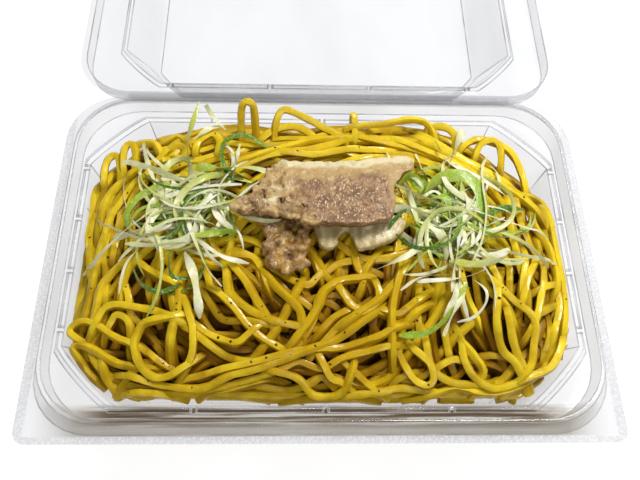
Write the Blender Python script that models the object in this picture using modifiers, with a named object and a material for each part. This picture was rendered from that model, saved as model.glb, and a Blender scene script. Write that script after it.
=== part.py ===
"""Noodle takeaway box: a clear hinged tray heaped with noodles, topped with pork and shredded onion.

Metres, +Z up. The origin is the centre of the tray's bottom, +Y points to the hinge.
The lid lies fully open behind the tray, with its flange level with the tray's.
"""

import math
import random

import bmesh
import bpy
from mathutils import Vector

# Driving dimensions of the clear sheet box
HALF_WIDTH = 0.095
HALF_DEPTH = 0.0655
FLANGE_Z = 0.030
FILM = 0.0005
FLOOR_DROP = FLANGE_Z - FILM / 2
CORNER_STEPS = 5
FLANGE_CORNER = 0.020
TAB_CORNER = 0.004

# Tray: raised locking ridge, thin rib round the mouth, then tapering walls
RIDGE_FOOT_X = 0.0917
RIDGE_FOOT_Y = 0.0629
RIDGE_HEIGHT = 0.006
MOUTH_X = 0.0855
MOUTH_Y = 0.055
MOUTH_CUT = 0.0195
RIB_HALF = 0.001
RIB_HEIGHT = 0.0009
TRAY_FLOOR_X = 0.075
TRAY_FLOOR_Y = 0.0445

# Lid: a stepped rim that drops over the ridge, then a shallow dome
HINGE_Y = 0.0659
HINGE_RISE = 0.00045
HINGE_GAP = 0.0003
LID_FAR_Y = HINGE_Y + HINGE_Y + HALF_DEPTH + 0.0002
LID_STEP_DEPTH = 0.0066
LID_STEP_IN = 0.0022
DOME_X = 0.0805
DOME_IN_Y = 0.0109
DOME_CUT = 0.017
DOME_FLOOR_X = 0.0700
DOME_TAPER_Y = 0.0085

# Heap of noodles: plan limits and how softly its height falls towards each wall
NOODLE_RADIUS = 0.0015
HEAP_EDGE_Z = -0.004
HEAP_RISE = 0.0195
HEAP_X = 0.084
HEAP_FRONT = 0.054
HEAP_BACK = 0.054
FALL_SIDE = 0.014
FALL_FRONT = 0.018
FALL_BACK = 0.007
HEAP_CLEAR = 0.0009
OUTLINE_POINTS = 44
STRAND_STEP = 0.0048
STRAND_SUNK = 0.0009

# Pork and onion
LAY_GAP = 0.0005
SHRED_THICK = 0.0008
SHRED_LIFT = 0.0042
TUFT_THICK = 0.0040


def clear_objects():
    for obj in list(bpy.data.objects):
        bpy.data.objects.remove(obj, do_unlink=True)


def new_collection(name):
    made = bpy.data.collections.new(name)
    bpy.context.scene.collection.children.link(made)
    return made


def material(name, colour, roughness, metallic=0.0, alpha=1.0):
    made = bpy.data.materials.new(name)
    made.use_nodes = True
    shader = made.node_tree.nodes["Principled BSDF"]
    shader.inputs["Base Color"].default_value = (*colour, 1.0)
    shader.inputs["Roughness"].default_value = roughness
    shader.inputs["Metallic"].default_value = metallic
    shader.inputs["Alpha"].default_value = alpha
    return made


def outline(half_x, low_y, high_y, low_corner, high_corner, flat=0.0):
    """Plan outline, anticlockwise from the front right corner. flat=1 makes the corners straight cuts."""
    corners = (
        (half_x, low_y, low_corner, -90),
        (half_x, high_y, high_corner, 0),
        (-half_x, high_y, high_corner, 90),
        (-half_x, low_y, low_corner, 180),
    )
    points = []
    for x, y, radius, start in corners:
        centre = Vector((x - math.copysign(radius, x), y + (radius if y == low_y else -radius)))
        ends = [centre + radius * heading(start + turn) for turn in (0, 90)]
        for step in range(CORNER_STEPS + 1):
            share = step / CORNER_STEPS
            arc = centre + radius * heading(start + 90 * share)
            points.append(arc.lerp(ends[0].lerp(ends[1], share), flat))
    return points


def heading(degrees):
    angle = math.radians(degrees)
    return Vector((math.cos(angle), math.sin(angle)))


def ring_at(points, z):
    return [Vector((p.x, p.y, z)) for p in points]


def object_from(bm, name, collection, finish):
    mesh = bpy.data.meshes.new(name)
    bm.to_mesh(mesh)
    bm.free()
    mesh.materials.append(finish)
    obj = bpy.data.objects.new(name, mesh)
    collection.objects.link(obj)
    return obj


def loft(rings, first_cap=False, last_cap=True):
    """Skin over rings of equal point counts, with an optional face on either end."""
    bm = bmesh.new()
    loops = [[bm.verts.new(point) for point in ring] for ring in rings]
    count = len(loops[0])
    for lower, upper in zip(loops, loops[1:]):
        for i in range(count):
            j = (i + 1) % count
            bm.faces.new((lower[i], lower[j], upper[j], upper[i]))
    if first_cap:
        bm.faces.new(loops[0][::-1])
    if last_cap:
        bm.faces.new(loops[-1])
    bm.normal_update()
    return bm


def add_film(obj):
    """The open surface becomes sheet of the film's thickness, half to each side."""
    solidify = obj.modifiers.new("film", "SOLIDIFY")
    solidify.thickness = FILM
    solidify.offset = 0.0
    solidify.use_even_offset = True


def make_tray(collection, finish):
    ridge_steps = ((0.0, 0.0), (0.0023, RIDGE_HEIGHT), (0.0033, RIDGE_HEIGHT), (0.0042, 0.0))
    rib_steps = ((-RIB_HALF, 0.0), (0.0, RIB_HEIGHT), (RIB_HALF, 0.0))
    rings = [
        ring_at(outline(HALF_WIDTH, -HALF_DEPTH, HINGE_Y - HINGE_GAP / 2, TAB_CORNER, FLANGE_CORNER), 0)
    ]
    for inset, height in ridge_steps:
        depth = RIDGE_FOOT_Y - inset
        corner = FLANGE_CORNER - inset
        rings.append(ring_at(outline(RIDGE_FOOT_X - inset, -depth, depth, corner, corner), height))
    for inset, height in rib_steps:
        depth = MOUTH_Y - inset
        plan = outline(MOUTH_X - inset, -depth, depth, MOUTH_CUT, MOUTH_CUT, 0.85)
        rings.append(ring_at(plan, height))
    for half_x, half_y, z in (
        (TRAY_FLOOR_X + 0.002, TRAY_FLOOR_Y + 0.002, -FLOOR_DROP + 0.0022),
        (TRAY_FLOOR_X, TRAY_FLOOR_Y, -FLOOR_DROP),
    ):
        rings.append(ring_at(outline(half_x, -half_y, half_y, 0.017, 0.017, 0.6), z))
    tray = object_from(loft(rings), "tray", collection, finish)
    tray.location.z = FLANGE_Z
    add_film(tray)
    return tray


def make_lid(collection, finish):
    """Drawn open: the rim is level with the tray's and the dome hangs below it."""
    near = HINGE_Y + HINGE_GAP / 2
    far = LID_FAR_Y
    rings = []
    for inset, z, corner in (
        (0.0, 0.0, FLANGE_CORNER),
        (LID_STEP_IN, 0.0, 0.0185),
        (LID_STEP_IN + 0.0005, -LID_STEP_DEPTH, 0.018),
    ):
        plan = outline(HALF_WIDTH - inset, near + inset, far - inset, corner, corner)
        rings.append(ring_at(plan, z))
    for step, z in ((-RIB_HALF, 0.0), (0.0, RIB_HEIGHT), (RIB_HALF, 0.0)):
        inset = DOME_IN_Y + step
        plan = outline(DOME_X - step, near + inset, far - inset, DOME_CUT, DOME_CUT, 0.85)
        rings.append(ring_at(plan, z - LID_STEP_DEPTH))
    for half_x, inset, z in (
        (DOME_FLOOR_X + 0.0018, DOME_IN_Y + DOME_TAPER_Y, -FLOOR_DROP + 0.0020),
        (DOME_FLOOR_X, DOME_IN_Y + DOME_TAPER_Y + 0.0018, -FLOOR_DROP),
    ):
        rings.append(ring_at(outline(half_x, near + inset, far - inset, 0.015, 0.015, 0.6), z))
    pivot = Vector((0.0, HINGE_Y, FLANGE_Z + HINGE_RISE))
    rings = [[point + Vector((0, 0, FLANGE_Z)) - pivot for point in ring] for ring in rings]
    lid = object_from(loft(rings), "lid", collection, finish)
    lid.location = pivot
    add_film(lid)
    return lid


def heap_z(x, y):
    """Height of the noodle heap's bare core."""
    across = 1 - math.exp(-max(HEAP_X - abs(x), 0) / FALL_SIDE)
    front = 1 - math.exp(-max(y + HEAP_FRONT, 0) / FALL_FRONT)
    back = 1 - math.exp(-max(HEAP_BACK - y, 0) / FALL_BACK)
    swell = 0.0006 * math.sin(x / 0.011) * math.cos(y / 0.009)
    return FLANGE_Z + HEAP_EDGE_Z + (HEAP_RISE + swell) * across * front * back


def heap_normal(x, y):
    reach = 0.001
    slope_x = (heap_z(x + reach, y) - heap_z(x - reach, y)) / (2 * reach)
    slope_y = (heap_z(x, y + reach) - heap_z(x, y - reach)) / (2 * reach)
    return Vector((-slope_x, -slope_y, 1)).normalized()


def evenly(points, count):
    """The closed outline's points, respaced evenly by length."""
    sides = [(b - a).length for a, b in zip(points, points[1:] + points[:1])]
    total = sum(sides)
    spaced = []
    side, start = 0, 0.0
    for step in range(count):
        want = total * step / count
        while start + sides[side] < want:
            start += sides[side]
            side += 1
        a, b = points[side], points[(side + 1) % len(points)]
        spaced.append(a.lerp(b, (want - start) / sides[side]))
    return spaced


def make_core(collection, finish):
    """Bare heap: the tray's inside up to its mouth, domed on top."""
    def plan(half_x, half_y, cut, flat):
        return evenly(outline(half_x, -half_y, half_y, cut, cut, flat), OUTLINE_POINTS)

    top_x = MOUTH_X - RIB_HALF - HEAP_CLEAR
    top_y = MOUTH_Y - RIB_HALF - HEAP_CLEAR
    low_x = TRAY_FLOOR_X + 0.002 - HEAP_CLEAR
    low_y = TRAY_FLOOR_Y + 0.002 - HEAP_CLEAR
    depth = FLOOR_DROP - 0.0022
    rim_share = 1 + HEAP_EDGE_Z / depth
    rim_x = low_x + (top_x - low_x) * rim_share
    rim_y = low_y + (top_y - low_y) * rim_share
    floor = plan(TRAY_FLOOR_X - HEAP_CLEAR, TRAY_FLOOR_Y - HEAP_CLEAR, 0.0175, 0.6)
    rings = [
        ring_at(floor, FILM + 0.0005),
        ring_at(plan(low_x, low_y, 0.0175, 0.6), FLANGE_Z - depth + 0.0003),
        ring_at(plan(rim_x, rim_y, 0.0200, 0.85), FLANGE_Z + HEAP_EDGE_Z),
    ]
    rim = plan(rim_x, rim_y, 0.0200, 0.85)
    for share in (0.95, 0.87, 0.76, 0.62, 0.46, 0.29, 0.12):
        rings.append([Vector((p.x * share, p.y * share, heap_z(p.x * share, p.y * share))) for p in rim])
    return object_from(loft(rings, first_cap=True), "noodles", collection, finish)


def tube(points, radius, name, collection, finish):
    """A six-sided closed tube along the points, as a mesh."""
    curve = bpy.data.curves.new(name, "CURVE")
    curve.dimensions = "3D"
    curve.bevel_depth = radius
    curve.bevel_resolution = 1
    curve.use_fill_caps = True
    spline = curve.splines.new("POLY")
    spline.points.add(len(points) - 1)
    for spot, place in zip(spline.points, points):
        spot.co = (*place, 1)
    guide = bpy.data.objects.new(name + "_route", curve)
    collection.objects.link(guide)
    bpy.context.view_layer.update()
    solid = guide.evaluated_get(bpy.context.evaluated_depsgraph_get())
    mesh = bpy.data.meshes.new_from_object(solid)
    bpy.data.objects.remove(guide, do_unlink=True)
    bm = bmesh.new()
    bm.from_mesh(mesh)
    bpy.data.meshes.remove(mesh)
    bmesh.ops.remove_doubles(bm, verts=bm.verts, dist=0.00001)
    bmesh.ops.recalc_face_normals(bm, faces=bm.faces)
    return object_from(bm, name, collection, finish)


# Plan ellipses that the toppings lie on, so no noodle is fused there: centre x, y, half width, half depth
TOPPED = ((0.001, 0.004, 0.034, 0.024), (-0.046, 0.003, 0.023, 0.016), (0.041, 0.004, 0.021, 0.022))


def is_topped(x, y):
    return any(((x - cx) / rx) ** 2 + ((y - cy) / ry) ** 2 < 1 for cx, cy, rx, ry in TOPPED)


def in_heap(x, y, margin):
    half_x = HEAP_X - 0.0015 - margin
    half_y = HEAP_FRONT - 0.0025 - margin
    cut = half_x + half_y - MOUTH_CUT + 0.001
    return abs(x) < half_x and abs(y) < half_y and abs(x) + abs(y) < cut


def strand_route(rng, x, y, aim, bend, count):
    """A wandering route over the core, turned back before it would leave the heap."""
    route = []
    phase = rng.uniform(0, math.tau)
    for step in range(count):
        if not in_heap(x, y, NOODLE_RADIUS) or is_topped(x, y):
            break
        lift = STRAND_SUNK if 0 < step < count - 1 else -NOODLE_RADIUS
        route.append(Vector((x, y, heap_z(x, y) + lift)))
        aim += bend + 0.16 * math.sin(phase + step * 0.7)
        for _ in range(24):
            ahead = STRAND_STEP * 2.5
            nx, ny = x + ahead * math.cos(aim), y + ahead * math.sin(aim)
            if in_heap(nx, ny, NOODLE_RADIUS) and not is_topped(nx, ny):
                break
            aim += 0.13 if bend >= 0 else -0.13
        x += STRAND_STEP * math.cos(aim)
        y += STRAND_STEP * math.sin(aim)
    return route


# Families of noodles as they lie in the box: count, first start, last start, aim in degrees, bend, steps
FAMILIES = (
    (3, (-0.0795, -0.034), (-0.0705, -0.030), 91, 0.004, 15),
    (3, (0.0795, -0.034), (0.0670, -0.028), 89, -0.006, 15),
    (3, (-0.0640, 0.0455), (-0.0660, 0.0300), 0, 0.0, 21),
    (2, (0.0660, 0.0440), (0.0640, 0.0330), 180, 0.0, 14),
    (4, (-0.0560, -0.0480), (-0.0580, -0.0190), 6, 0.008, 21),
    (2, (0.0640, -0.0420), (0.0640, -0.0240), 182, -0.012, 19),
    (2, (-0.0240, -0.0360), (0.0260, -0.0300), 10, 0.27, 14),
)
SHORTEST_STRAND = 8


def make_strands(rng, collection, finish):
    made = []
    for family, (count, first, last, aim, bend, steps) in enumerate(FAMILIES):
        for number in range(count):
            x, y = (a + (b - a) * number / (count - 1) for a, b in zip(first, last))
            turn = math.radians(aim + rng.uniform(-6, 6))
            route = strand_route(rng, x, y, turn, bend + rng.uniform(-0.012, 0.012), steps)
            if len(route) >= SHORTEST_STRAND:
                made.append(tube(route, NOODLE_RADIUS, f"strand_{family}_{number}", collection, finish))
    return made


# Noodle loops that stand out of the heap's back: the two feet and the crown's x, y and height over the flange
LOOPS = (
    ((-0.0205, 0.040), (-0.0130, 0.040), (-0.0170, 0.0455, 0.0200)),
    ((-0.0100, 0.042), (0.0090, 0.041), (-0.0030, 0.0465, 0.0165)),
    ((0.0180, 0.044), (0.0430, 0.042), (0.0300, 0.0470, 0.0150)),
    ((0.0520, 0.038), (0.0720, 0.024), (0.0680, 0.0385, 0.0085)),
    ((-0.0805, 0.021), (-0.0700, 0.033), (-0.0765, 0.0315, 0.0075)),
)


def loop_route(foot_a, foot_b, crown, steps=9):
    """An arch between two feet sunk in the core, through the crown."""
    a = Vector((*foot_a, heap_z(*foot_a) - 0.002))
    b = Vector((*foot_b, heap_z(*foot_b) - 0.002))
    top = Vector((crown[0], crown[1], FLANGE_Z + crown[2]))
    pull = 2 * top - (a + b) / 2
    route = []
    for step in range(steps + 1):
        t = step / steps
        route.append((1 - t) ** 2 * a + 2 * t * (1 - t) * pull + t * t * b)
    return route


def fuse(core, pieces, collection, solver="EXACT"):
    """One Boolean union of the core with the loose pieces, which are then removed."""
    extras = bpy.data.collections.new(core.name + "_pieces")
    bpy.context.scene.collection.children.link(extras)
    for piece in pieces:
        extras.objects.link(piece)
        collection.objects.unlink(piece)
    union = core.modifiers.new("fuse", "BOOLEAN")
    union.operation = "UNION"
    union.operand_type = "COLLECTION"
    union.collection = extras
    union.solver = solver
    bpy.context.view_layer.update()
    solid = core.evaluated_get(bpy.context.evaluated_depsgraph_get())
    fused = bpy.data.meshes.new_from_object(solid)
    core.modifiers.remove(union)
    core.data = fused
    for piece in pieces:
        bpy.data.objects.remove(piece, do_unlink=True)
    bpy.data.collections.remove(extras)
    drop_scraps(core)


def drop_scraps(obj):
    """Keeps the largest connected body of the mesh, without shells sealed inside it."""
    bm = bmesh.new()
    bm.from_mesh(obj.data)
    bmesh.ops.triangulate(bm, faces=bm.faces)
    unseen = set(bm.verts)
    bodies = []
    while unseen:
        body, edge = set(), {unseen.pop()}
        while edge:
            body |= edge
            edge = {e.other_vert(v) for v in edge for e in v.link_edges} - body
        unseen -= body
        bodies.append(body)
    largest = max(bodies, key=len)
    extra = [v for body in bodies if body is not largest for v in body]
    bmesh.ops.delete(bm, geom=extra, context="VERTS")
    bm.to_mesh(obj.data)
    bm.free()


def slab(name, plan, under, thick, collection, finish, centre=None):
    """A soft-edged slab over a star-shaped plan: under(x, y) is its underside, thick its depth."""
    middle = centre or sum((Vector(p) for p in plan), Vector((0, 0))) / len(plan)
    rings = []
    for share, level in ((0.30, 0.0), (0.70, 0.0), (0.93, 0.10), (1.0, 0.5), (0.92, 0.95), (0.66, 1.0), (0.30, 1.0)):
        ring = []
        for point in plan:
            spot = middle.lerp(Vector(point), share)
            relief = 0.06 * math.sin(spot.x / 0.0019 + spot.y / 0.0031) * (level > 0.5)
            ring.append(Vector((spot.x, spot.y, under(spot.x, spot.y) + thick * (level + relief))))
        rings.append(ring)
    return object_from(loft(rings, first_cap=True), name, collection, finish)


SLICE_PLAN = (
    (-0.014, 0.025), (-0.019, 0.020), (-0.023, 0.013), (-0.031, 0.007), (-0.027, 0.0045), (-0.019, 0.005),
    (-0.013, 0.004), (-0.007, -0.001), (0.002, -0.001), (0.009, -0.002), (0.014, -0.002), (0.021, 0.002),
    (0.023, 0.008), (0.023, 0.013), (0.028, 0.018), (0.031, 0.023), (0.024, 0.026), (0.009, 0.024),
    (-0.005, 0.0245),
)
TORN_PLAN = (
    (-0.020, 0.003), (-0.019, -0.005), (-0.021, -0.009), (-0.017, -0.014), (-0.012, -0.017), (-0.008, -0.014),
    (-0.0045, -0.010), (-0.0040, -0.005), (-0.006, 0.000), (-0.011, 0.005), (-0.016, 0.006),
)
FAT_PLAN = (
    (-0.002, -0.002), (0.000, -0.007), (0.005, -0.005), (0.011, -0.008), (0.018, -0.0065), (0.025, -0.002),
    (0.0275, 0.002), (0.026, 0.006), (0.015, 0.0055), (0.005, 0.004),
)
SLICE_BACK_Y = 0.027
SLICE_BACK_Z = 0.0168
SLICE_TILT = 0.16


def make_pork(collection, lean, fat):
    def on_heap(x, y):
        return heap_z(x, y) + LAY_GAP

    def leaning(x, y):
        """The slice's flat underside, resting on the heap behind and on the torn piece and the fat in front."""
        return FLANGE_Z + SLICE_BACK_Z + (SLICE_BACK_Y - y) * SLICE_TILT

    slab("pork_fat", FAT_PLAN, on_heap, 0.0044, collection, fat, Vector((0.013, 0.000)))
    slab("pork_torn", TORN_PLAN, on_heap, 0.0048, collection, lean)
    slab("pork_slice", SLICE_PLAN, leaning, 0.0040, collection, lean, Vector((0.001, 0.012)))


def ribbon(points, rises, width, name, collection, finish):
    """A thin strip lying on the heap, its flat side turned to the heap's slope."""
    rings = []
    for i, (x, y) in enumerate(points):
        ahead = points[min(i + 1, len(points) - 1)]
        behind = points[max(i - 1, 0)]
        normal = heap_normal(x, y)
        along = Vector((ahead[0] - behind[0], ahead[1] - behind[1], 0)).normalized()
        side = normal.cross(along).normalized()
        taper = 0.35 if i == len(points) - 1 else 1.0
        half = side * (width / 2 * taper)
        flat = normal * (SHRED_THICK / 2)
        middle = Vector((x, y, heap_z(x, y) + rises[i]))
        rings.append([middle - half - flat, middle + half - flat, middle + half + flat, middle - half + flat])
    bm = loft(rings, first_cap=True)
    bmesh.ops.triangulate(bm, faces=bm.faces)
    bmesh.ops.recalc_face_normals(bm, faces=bm.faces)
    return object_from(bm, name, collection, finish)


def shred(number, start, bend, end, rise, width, collection, finish, steps=5):
    """One shred from inside the tuft to its tip, bent towards the middle point and lifted at the tip."""
    points, rises = [], []
    for step in range(steps + 1):
        t = step / steps
        points.append(tuple((1 - t) ** 2 * a + 2 * t * (1 - t) * b + t * t * c for a, b, c in zip(start, bend, end)))
        rises.append(SHRED_LIFT + rise * t * t)
    return ribbon(points, rises, width, f"shred_{number}", collection, finish)


# Each shred: start in the tuft, bend, tip, the tip's extra height, width
LEFT_SHREDS = (
    ((-0.043, 0.008), (-0.048, 0.030), (-0.043, 0.047), 0.0090, 0.0034),
    ((-0.034, 0.008), (-0.040, 0.046), (-0.017, 0.029), 0.0012, 0.0022),
    ((-0.044, 0.009), (-0.055, 0.021), (-0.068, 0.024), 0.0016, 0.0030),
    ((-0.050, 0.010), (-0.040, -0.004), (-0.032, -0.022), 0.0008, 0.0026),
    ((-0.052, 0.010), (-0.055, 0.024), (-0.063, 0.034), 0.0020, 0.0024),
    ((-0.045, 0.008), (-0.036, 0.012), (-0.029, 0.0165), 0.0010, 0.0030),
    ((-0.047, -0.002), (-0.064, -0.006), (-0.078, 0.008), 0.0010, 0.0020),
    ((-0.042, -0.004), (-0.034, -0.010), (-0.025, -0.0155), 0.0004, 0.0024),
    ((-0.044, -0.005), (-0.042, -0.020), (-0.038, -0.032), 0.0006, 0.0034),
    ((-0.060, -0.003), (-0.060, -0.024), (-0.043, -0.019), 0.0004, 0.0022),
)
RIGHT_SHREDS = (
    ((0.044, 0.012), (0.044, 0.028), (0.049, 0.040), 0.0026, 0.0030),
    ((0.048, 0.010), (0.050, 0.022), (0.038, 0.036), 0.0020, 0.0024),
    ((0.046, 0.014), (0.054, 0.019), (0.061, 0.013), 0.0010, 0.0024),
    ((0.046, 0.004), (0.060, 0.014), (0.056, 0.030), 0.0024, 0.0020),
    ((0.046, 0.000), (0.054, 0.002), (0.060, 0.004), 0.0010, 0.0022),
    ((0.038, -0.006), (0.028, -0.010), (0.0175, -0.0165), 0.0006, 0.0028),
    ((0.042, -0.006), (0.048, -0.016), (0.057, -0.012), 0.0006, 0.0036),
    ((0.040, -0.006), (0.044, -0.018), (0.037, -0.032), 0.0004, 0.0028),
    ((0.045, -0.004), (0.048, -0.032), (0.023, -0.037), 0.0004, 0.0030),
    ((0.046, -0.004), (0.064, -0.026), (0.041, -0.034), 0.0008, 0.0018),
)
LEFT_TUFT = (-0.046, 0.0025, 0.0205, 0.0135)
RIGHT_TUFT = (0.0440, 0.003, 0.0150, 0.0175)


def make_tuft(name, tuft, shreds, collection, finish):
    """A low tangle of shredded onion with the longest shreds standing clear of it."""
    cx, cy, rx, ry = tuft
    plan = [(cx + rx * heading(turn * 24).x, cy + ry * heading(turn * 24).y) for turn in range(15)]

    def on_heap(x, y):
        return heap_z(x, y) + LAY_GAP

    core = slab(name, plan, on_heap, TUFT_THICK, collection, finish, Vector((cx, cy)))
    pieces = [
        shred(number, start, bend, end, rise, width, collection, finish)
        for number, (start, bend, end, rise, width) in enumerate(shreds)
    ]
    fuse(core, pieces, collection)


def build():
    clear_objects()
    parts = new_collection("noodle_takeaway_box")
    clear_sheet = material("clear_sheet", (0.86, 0.87, 0.90), 0.08, alpha=0.25)
    noodle = material("noodle", (0.62, 0.42, 0.03), 0.35)
    lean = material("pork_lean", (0.42, 0.25, 0.19), 0.40)
    fat = material("pork_fat", (0.76, 0.70, 0.60), 0.30)
    onion = material("onion", (0.60, 0.72, 0.45), 0.35)

    make_tray(parts, clear_sheet)
    make_lid(parts, clear_sheet)

    rng = random.Random(11)
    core = make_core(parts, noodle)
    strands = make_strands(rng, parts, noodle)
    for number, (foot_a, foot_b, crown) in enumerate(LOOPS):
        strands.append(tube(loop_route(foot_a, foot_b, crown), NOODLE_RADIUS, f"loop_{number}", parts, noodle))
    fuse(core, strands, parts)

    make_pork(parts, lean, fat)
    make_tuft("onion_left", LEFT_TUFT, LEFT_SHREDS, parts, onion)
    make_tuft("onion_right", RIGHT_TUFT, RIGHT_SHREDS, parts, onion)


build()
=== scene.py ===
"""Open noodle takeaway box: a clear hinged tray heaped with yellow noodles, pork and shredded onion.

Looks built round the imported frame. Metres, +Z up; +Y points to the hinge and the open lid.
"""

import math

import bpy
import numpy as np
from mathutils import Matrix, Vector, noise


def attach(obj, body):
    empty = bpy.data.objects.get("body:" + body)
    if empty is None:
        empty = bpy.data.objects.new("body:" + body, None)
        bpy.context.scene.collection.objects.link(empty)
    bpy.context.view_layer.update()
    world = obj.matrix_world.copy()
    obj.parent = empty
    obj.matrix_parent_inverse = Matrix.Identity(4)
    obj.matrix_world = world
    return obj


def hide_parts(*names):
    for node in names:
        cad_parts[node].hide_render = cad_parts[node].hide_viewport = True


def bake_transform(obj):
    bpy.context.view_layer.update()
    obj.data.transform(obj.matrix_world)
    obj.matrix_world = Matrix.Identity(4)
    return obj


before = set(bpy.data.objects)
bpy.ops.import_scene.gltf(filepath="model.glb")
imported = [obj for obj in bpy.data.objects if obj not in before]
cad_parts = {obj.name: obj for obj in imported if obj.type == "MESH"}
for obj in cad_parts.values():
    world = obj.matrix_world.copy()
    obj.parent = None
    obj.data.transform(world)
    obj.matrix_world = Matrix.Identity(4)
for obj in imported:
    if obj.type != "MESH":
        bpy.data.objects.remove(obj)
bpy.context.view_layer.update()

MM = 0.001


# Camera: held over the front edge of the box and looking down into it, with a normal lens.

CAMERA_PLACE = (-0.009162, -0.105694, 0.249541)
CAMERA_TURN = (26.603, -1.914, -0.556)
CAMERA_LENS = 39.375
bpy.context.scene.view_settings.view_transform = "Standard"
bpy.ops.object.camera_add(location=CAMERA_PLACE, rotation=[math.radians(turn) for turn in CAMERA_TURN])
camera = bpy.context.object
camera.name = "camera"
camera.data.lens = CAMERA_LENS
camera.data.sensor_width = 36
bpy.context.scene.camera = camera


# Clear tray: one sheet of clear plastic about 0.4 mm thick, formed over a mould. A raised ridge runs
# round its flange for the lid to snap over, a thin rib runs round its mouth, and its walls taper to
# the floor. The flange outside the ridge is pressed with a fine knurl that looks frosted.

FLANGE = 30.0
SHEET = 0.40
CORNER_STEPS = 8
ROUND = 0.5
CUT = 0.29
HINGE_LINE = 65.9
HINGE_SLIT = 0.15
TRAY_EDGE = (95.0, -65.5, HINGE_LINE - HINGE_SLIT)
TRAY_CORNERS = (4.0, 20.0)
RIDGE = ((91.7, 62.9, 0.0), (89.4, 60.6, 6.0), (88.4, 59.6, 6.0), (87.5, 58.7, 0.0))
RIDGE_CORNER = 20.0
RIB_CREST = 0.9
MOUTH = ((86.5, 56.0, 0.0), (85.5, 55.0, RIB_CREST), (84.5, 54.0, 0.0))
MOUTH_CORNER = 19.5
TRAY_WALL = ((77.0, 46.5, -27.55), (75.0, 44.5, -29.55))
FLOOR_CORNER = 17.0
TICK_HALF_WIDTH = 1.1
TICK_DEPTH = 0.75
FRONT_TICKS = (-40.6, 0.5, 40.2)
SIDE_TICKS = (-29.0, -8.0, 12.0, 33.0)
FOLD_ROUND = 0.28
FOLD_ANGLE = 28
KNURL_SIZE = 1.1
KNURL_SIDE = (91.9 * MM, 92.3 * MM)
KNURL_FRONT = (-63.1 * MM, -63.5 * MM)
KNURL_BACK = (66.0 * MM, 65.0 * MM)
# Where the painted shadow band and the painted reflection of the noodles lie on the front of the tray
SHADOW_BAND_FRONT = (-53.2 * MM, -55.4 * MM)
SHADOW_BAND_ENDS = (90 * MM, 76 * MM)
REFLECTION_AND_OIL_FRONT = (-62.0 * MM, -59.4 * MM)
REFLECTION_AND_OIL_ENDS = (77 * MM, 64 * MM)


def let_go():
    """Nothing selected, so that the next operator acts on its own piece only."""
    bpy.ops.object.select_all(action="DESELECT")


def take(piece):
    """Selects that piece alone and makes it the active one."""
    let_go()
    piece.select_set(True)
    bpy.context.view_layer.objects.active = piece


def join(name, pieces):
    """Joins the pieces into one of that name."""
    take(pieces[0])
    for piece in pieces:
        piece.select_set(True)
    bpy.ops.object.join()
    joined = bpy.context.object
    joined.name = name
    return joined


def scaled(*scale):
    """Scales the piece that was just added, and applies its place and scale to its mesh."""
    piece = bpy.context.object
    piece.scale = scale
    bpy.ops.object.transform_apply(location=True, rotation=False, scale=True)
    return piece


def edit_whole(operator, **settings):
    """Runs a mesh operator on the whole of the active piece."""
    bpy.ops.object.mode_set(mode="EDIT")
    bpy.ops.mesh.select_all(action="SELECT")
    operator(**settings)
    bpy.ops.object.mode_set(mode="OBJECT")


def turn_outwards():
    """Turns every face of the active piece outwards."""
    edit_whole(bpy.ops.mesh.normals_make_consistent, inside=False)


def thicken(piece, thickness):
    """Gives the active open sheet its thickness in mm, half to each side, and smooth shading."""
    solid = piece.modifiers.new("thickness", "SOLIDIFY")
    solid.thickness = thickness * MM
    solid.offset = 0.0
    bpy.ops.object.modifier_apply(modifier="thickness")
    bpy.ops.object.shade_smooth_by_angle(angle=math.radians(40))


def pick(test, kind="VERT"):
    """In edit mode: selects the vertices, edges or faces that pass the test, and nothing else."""
    bpy.ops.mesh.select_mode(type=kind)
    bpy.ops.mesh.select_all(action="DESELECT")
    bpy.ops.object.mode_set(mode="OBJECT")
    mesh = bpy.context.object.data
    for part in {"VERT": mesh.vertices, "EDGE": mesh.edges, "FACE": mesh.polygons}[kind]:
        part.select = test(part)
    bpy.ops.object.mode_set(mode="EDIT")


def level(half_x, low_y, high_y, z, corners, profile, number):
    """One level of a formed sheet: a flat plan with bevelled front and back corners."""
    let_go()
    middle = (low_y + high_y) / 2
    bpy.ops.mesh.primitive_plane_add(size=2 * MM, location=(0, middle * MM, (FLANGE + z) * MM))
    plan = scaled(half_x, (high_y - low_y) / 2, 1)
    bpy.ops.object.mode_set(mode="EDIT")
    for front in (False, True):
        pick(lambda vertex: (vertex.co.y < middle * MM) == front)
        bpy.ops.mesh.bevel(
            offset=corners[0 if front else 1] * MM, segments=CORNER_STEPS, affect="VERTICES", profile=profile
        )
    bpy.ops.object.mode_set(mode="OBJECT")
    mark = plan.data.attributes.new("level", "INT", "POINT")
    mark.data.foreach_set("value", [number] * len(plan.data.vertices))
    return plan


def form_sheet(name, plans):
    """Joins the levels, keeps only the last one's face, and bridges each level to the next."""
    sheet = join(name, plans)
    last = len(plans) - 1
    levels = [mark.value for mark in sheet.data.attributes["level"].data]
    bpy.ops.object.mode_set(mode="EDIT")
    pick(lambda face: levels[face.vertices[0]] < last, "FACE")
    bpy.ops.mesh.delete(type="ONLY_FACE")
    for number in range(last):
        rims = ({number}, {number + 1})
        pick(lambda edge: {levels[end] for end in edge.vertices} in rims, "EDGE")
        bpy.ops.mesh.bridge_edge_loops()
    turn_outwards()
    return sheet


def slice_across(sheet, axis, place):
    """A line of new vertices across the whole sheet."""
    point, normal = [0.0, 0.0, 0.0], [0.0, 0.0, 0.0]
    point[axis], normal[axis] = place * MM, 1.0
    edit_whole(bpy.ops.mesh.bisect, plane_co=point, plane_no=normal)


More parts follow.
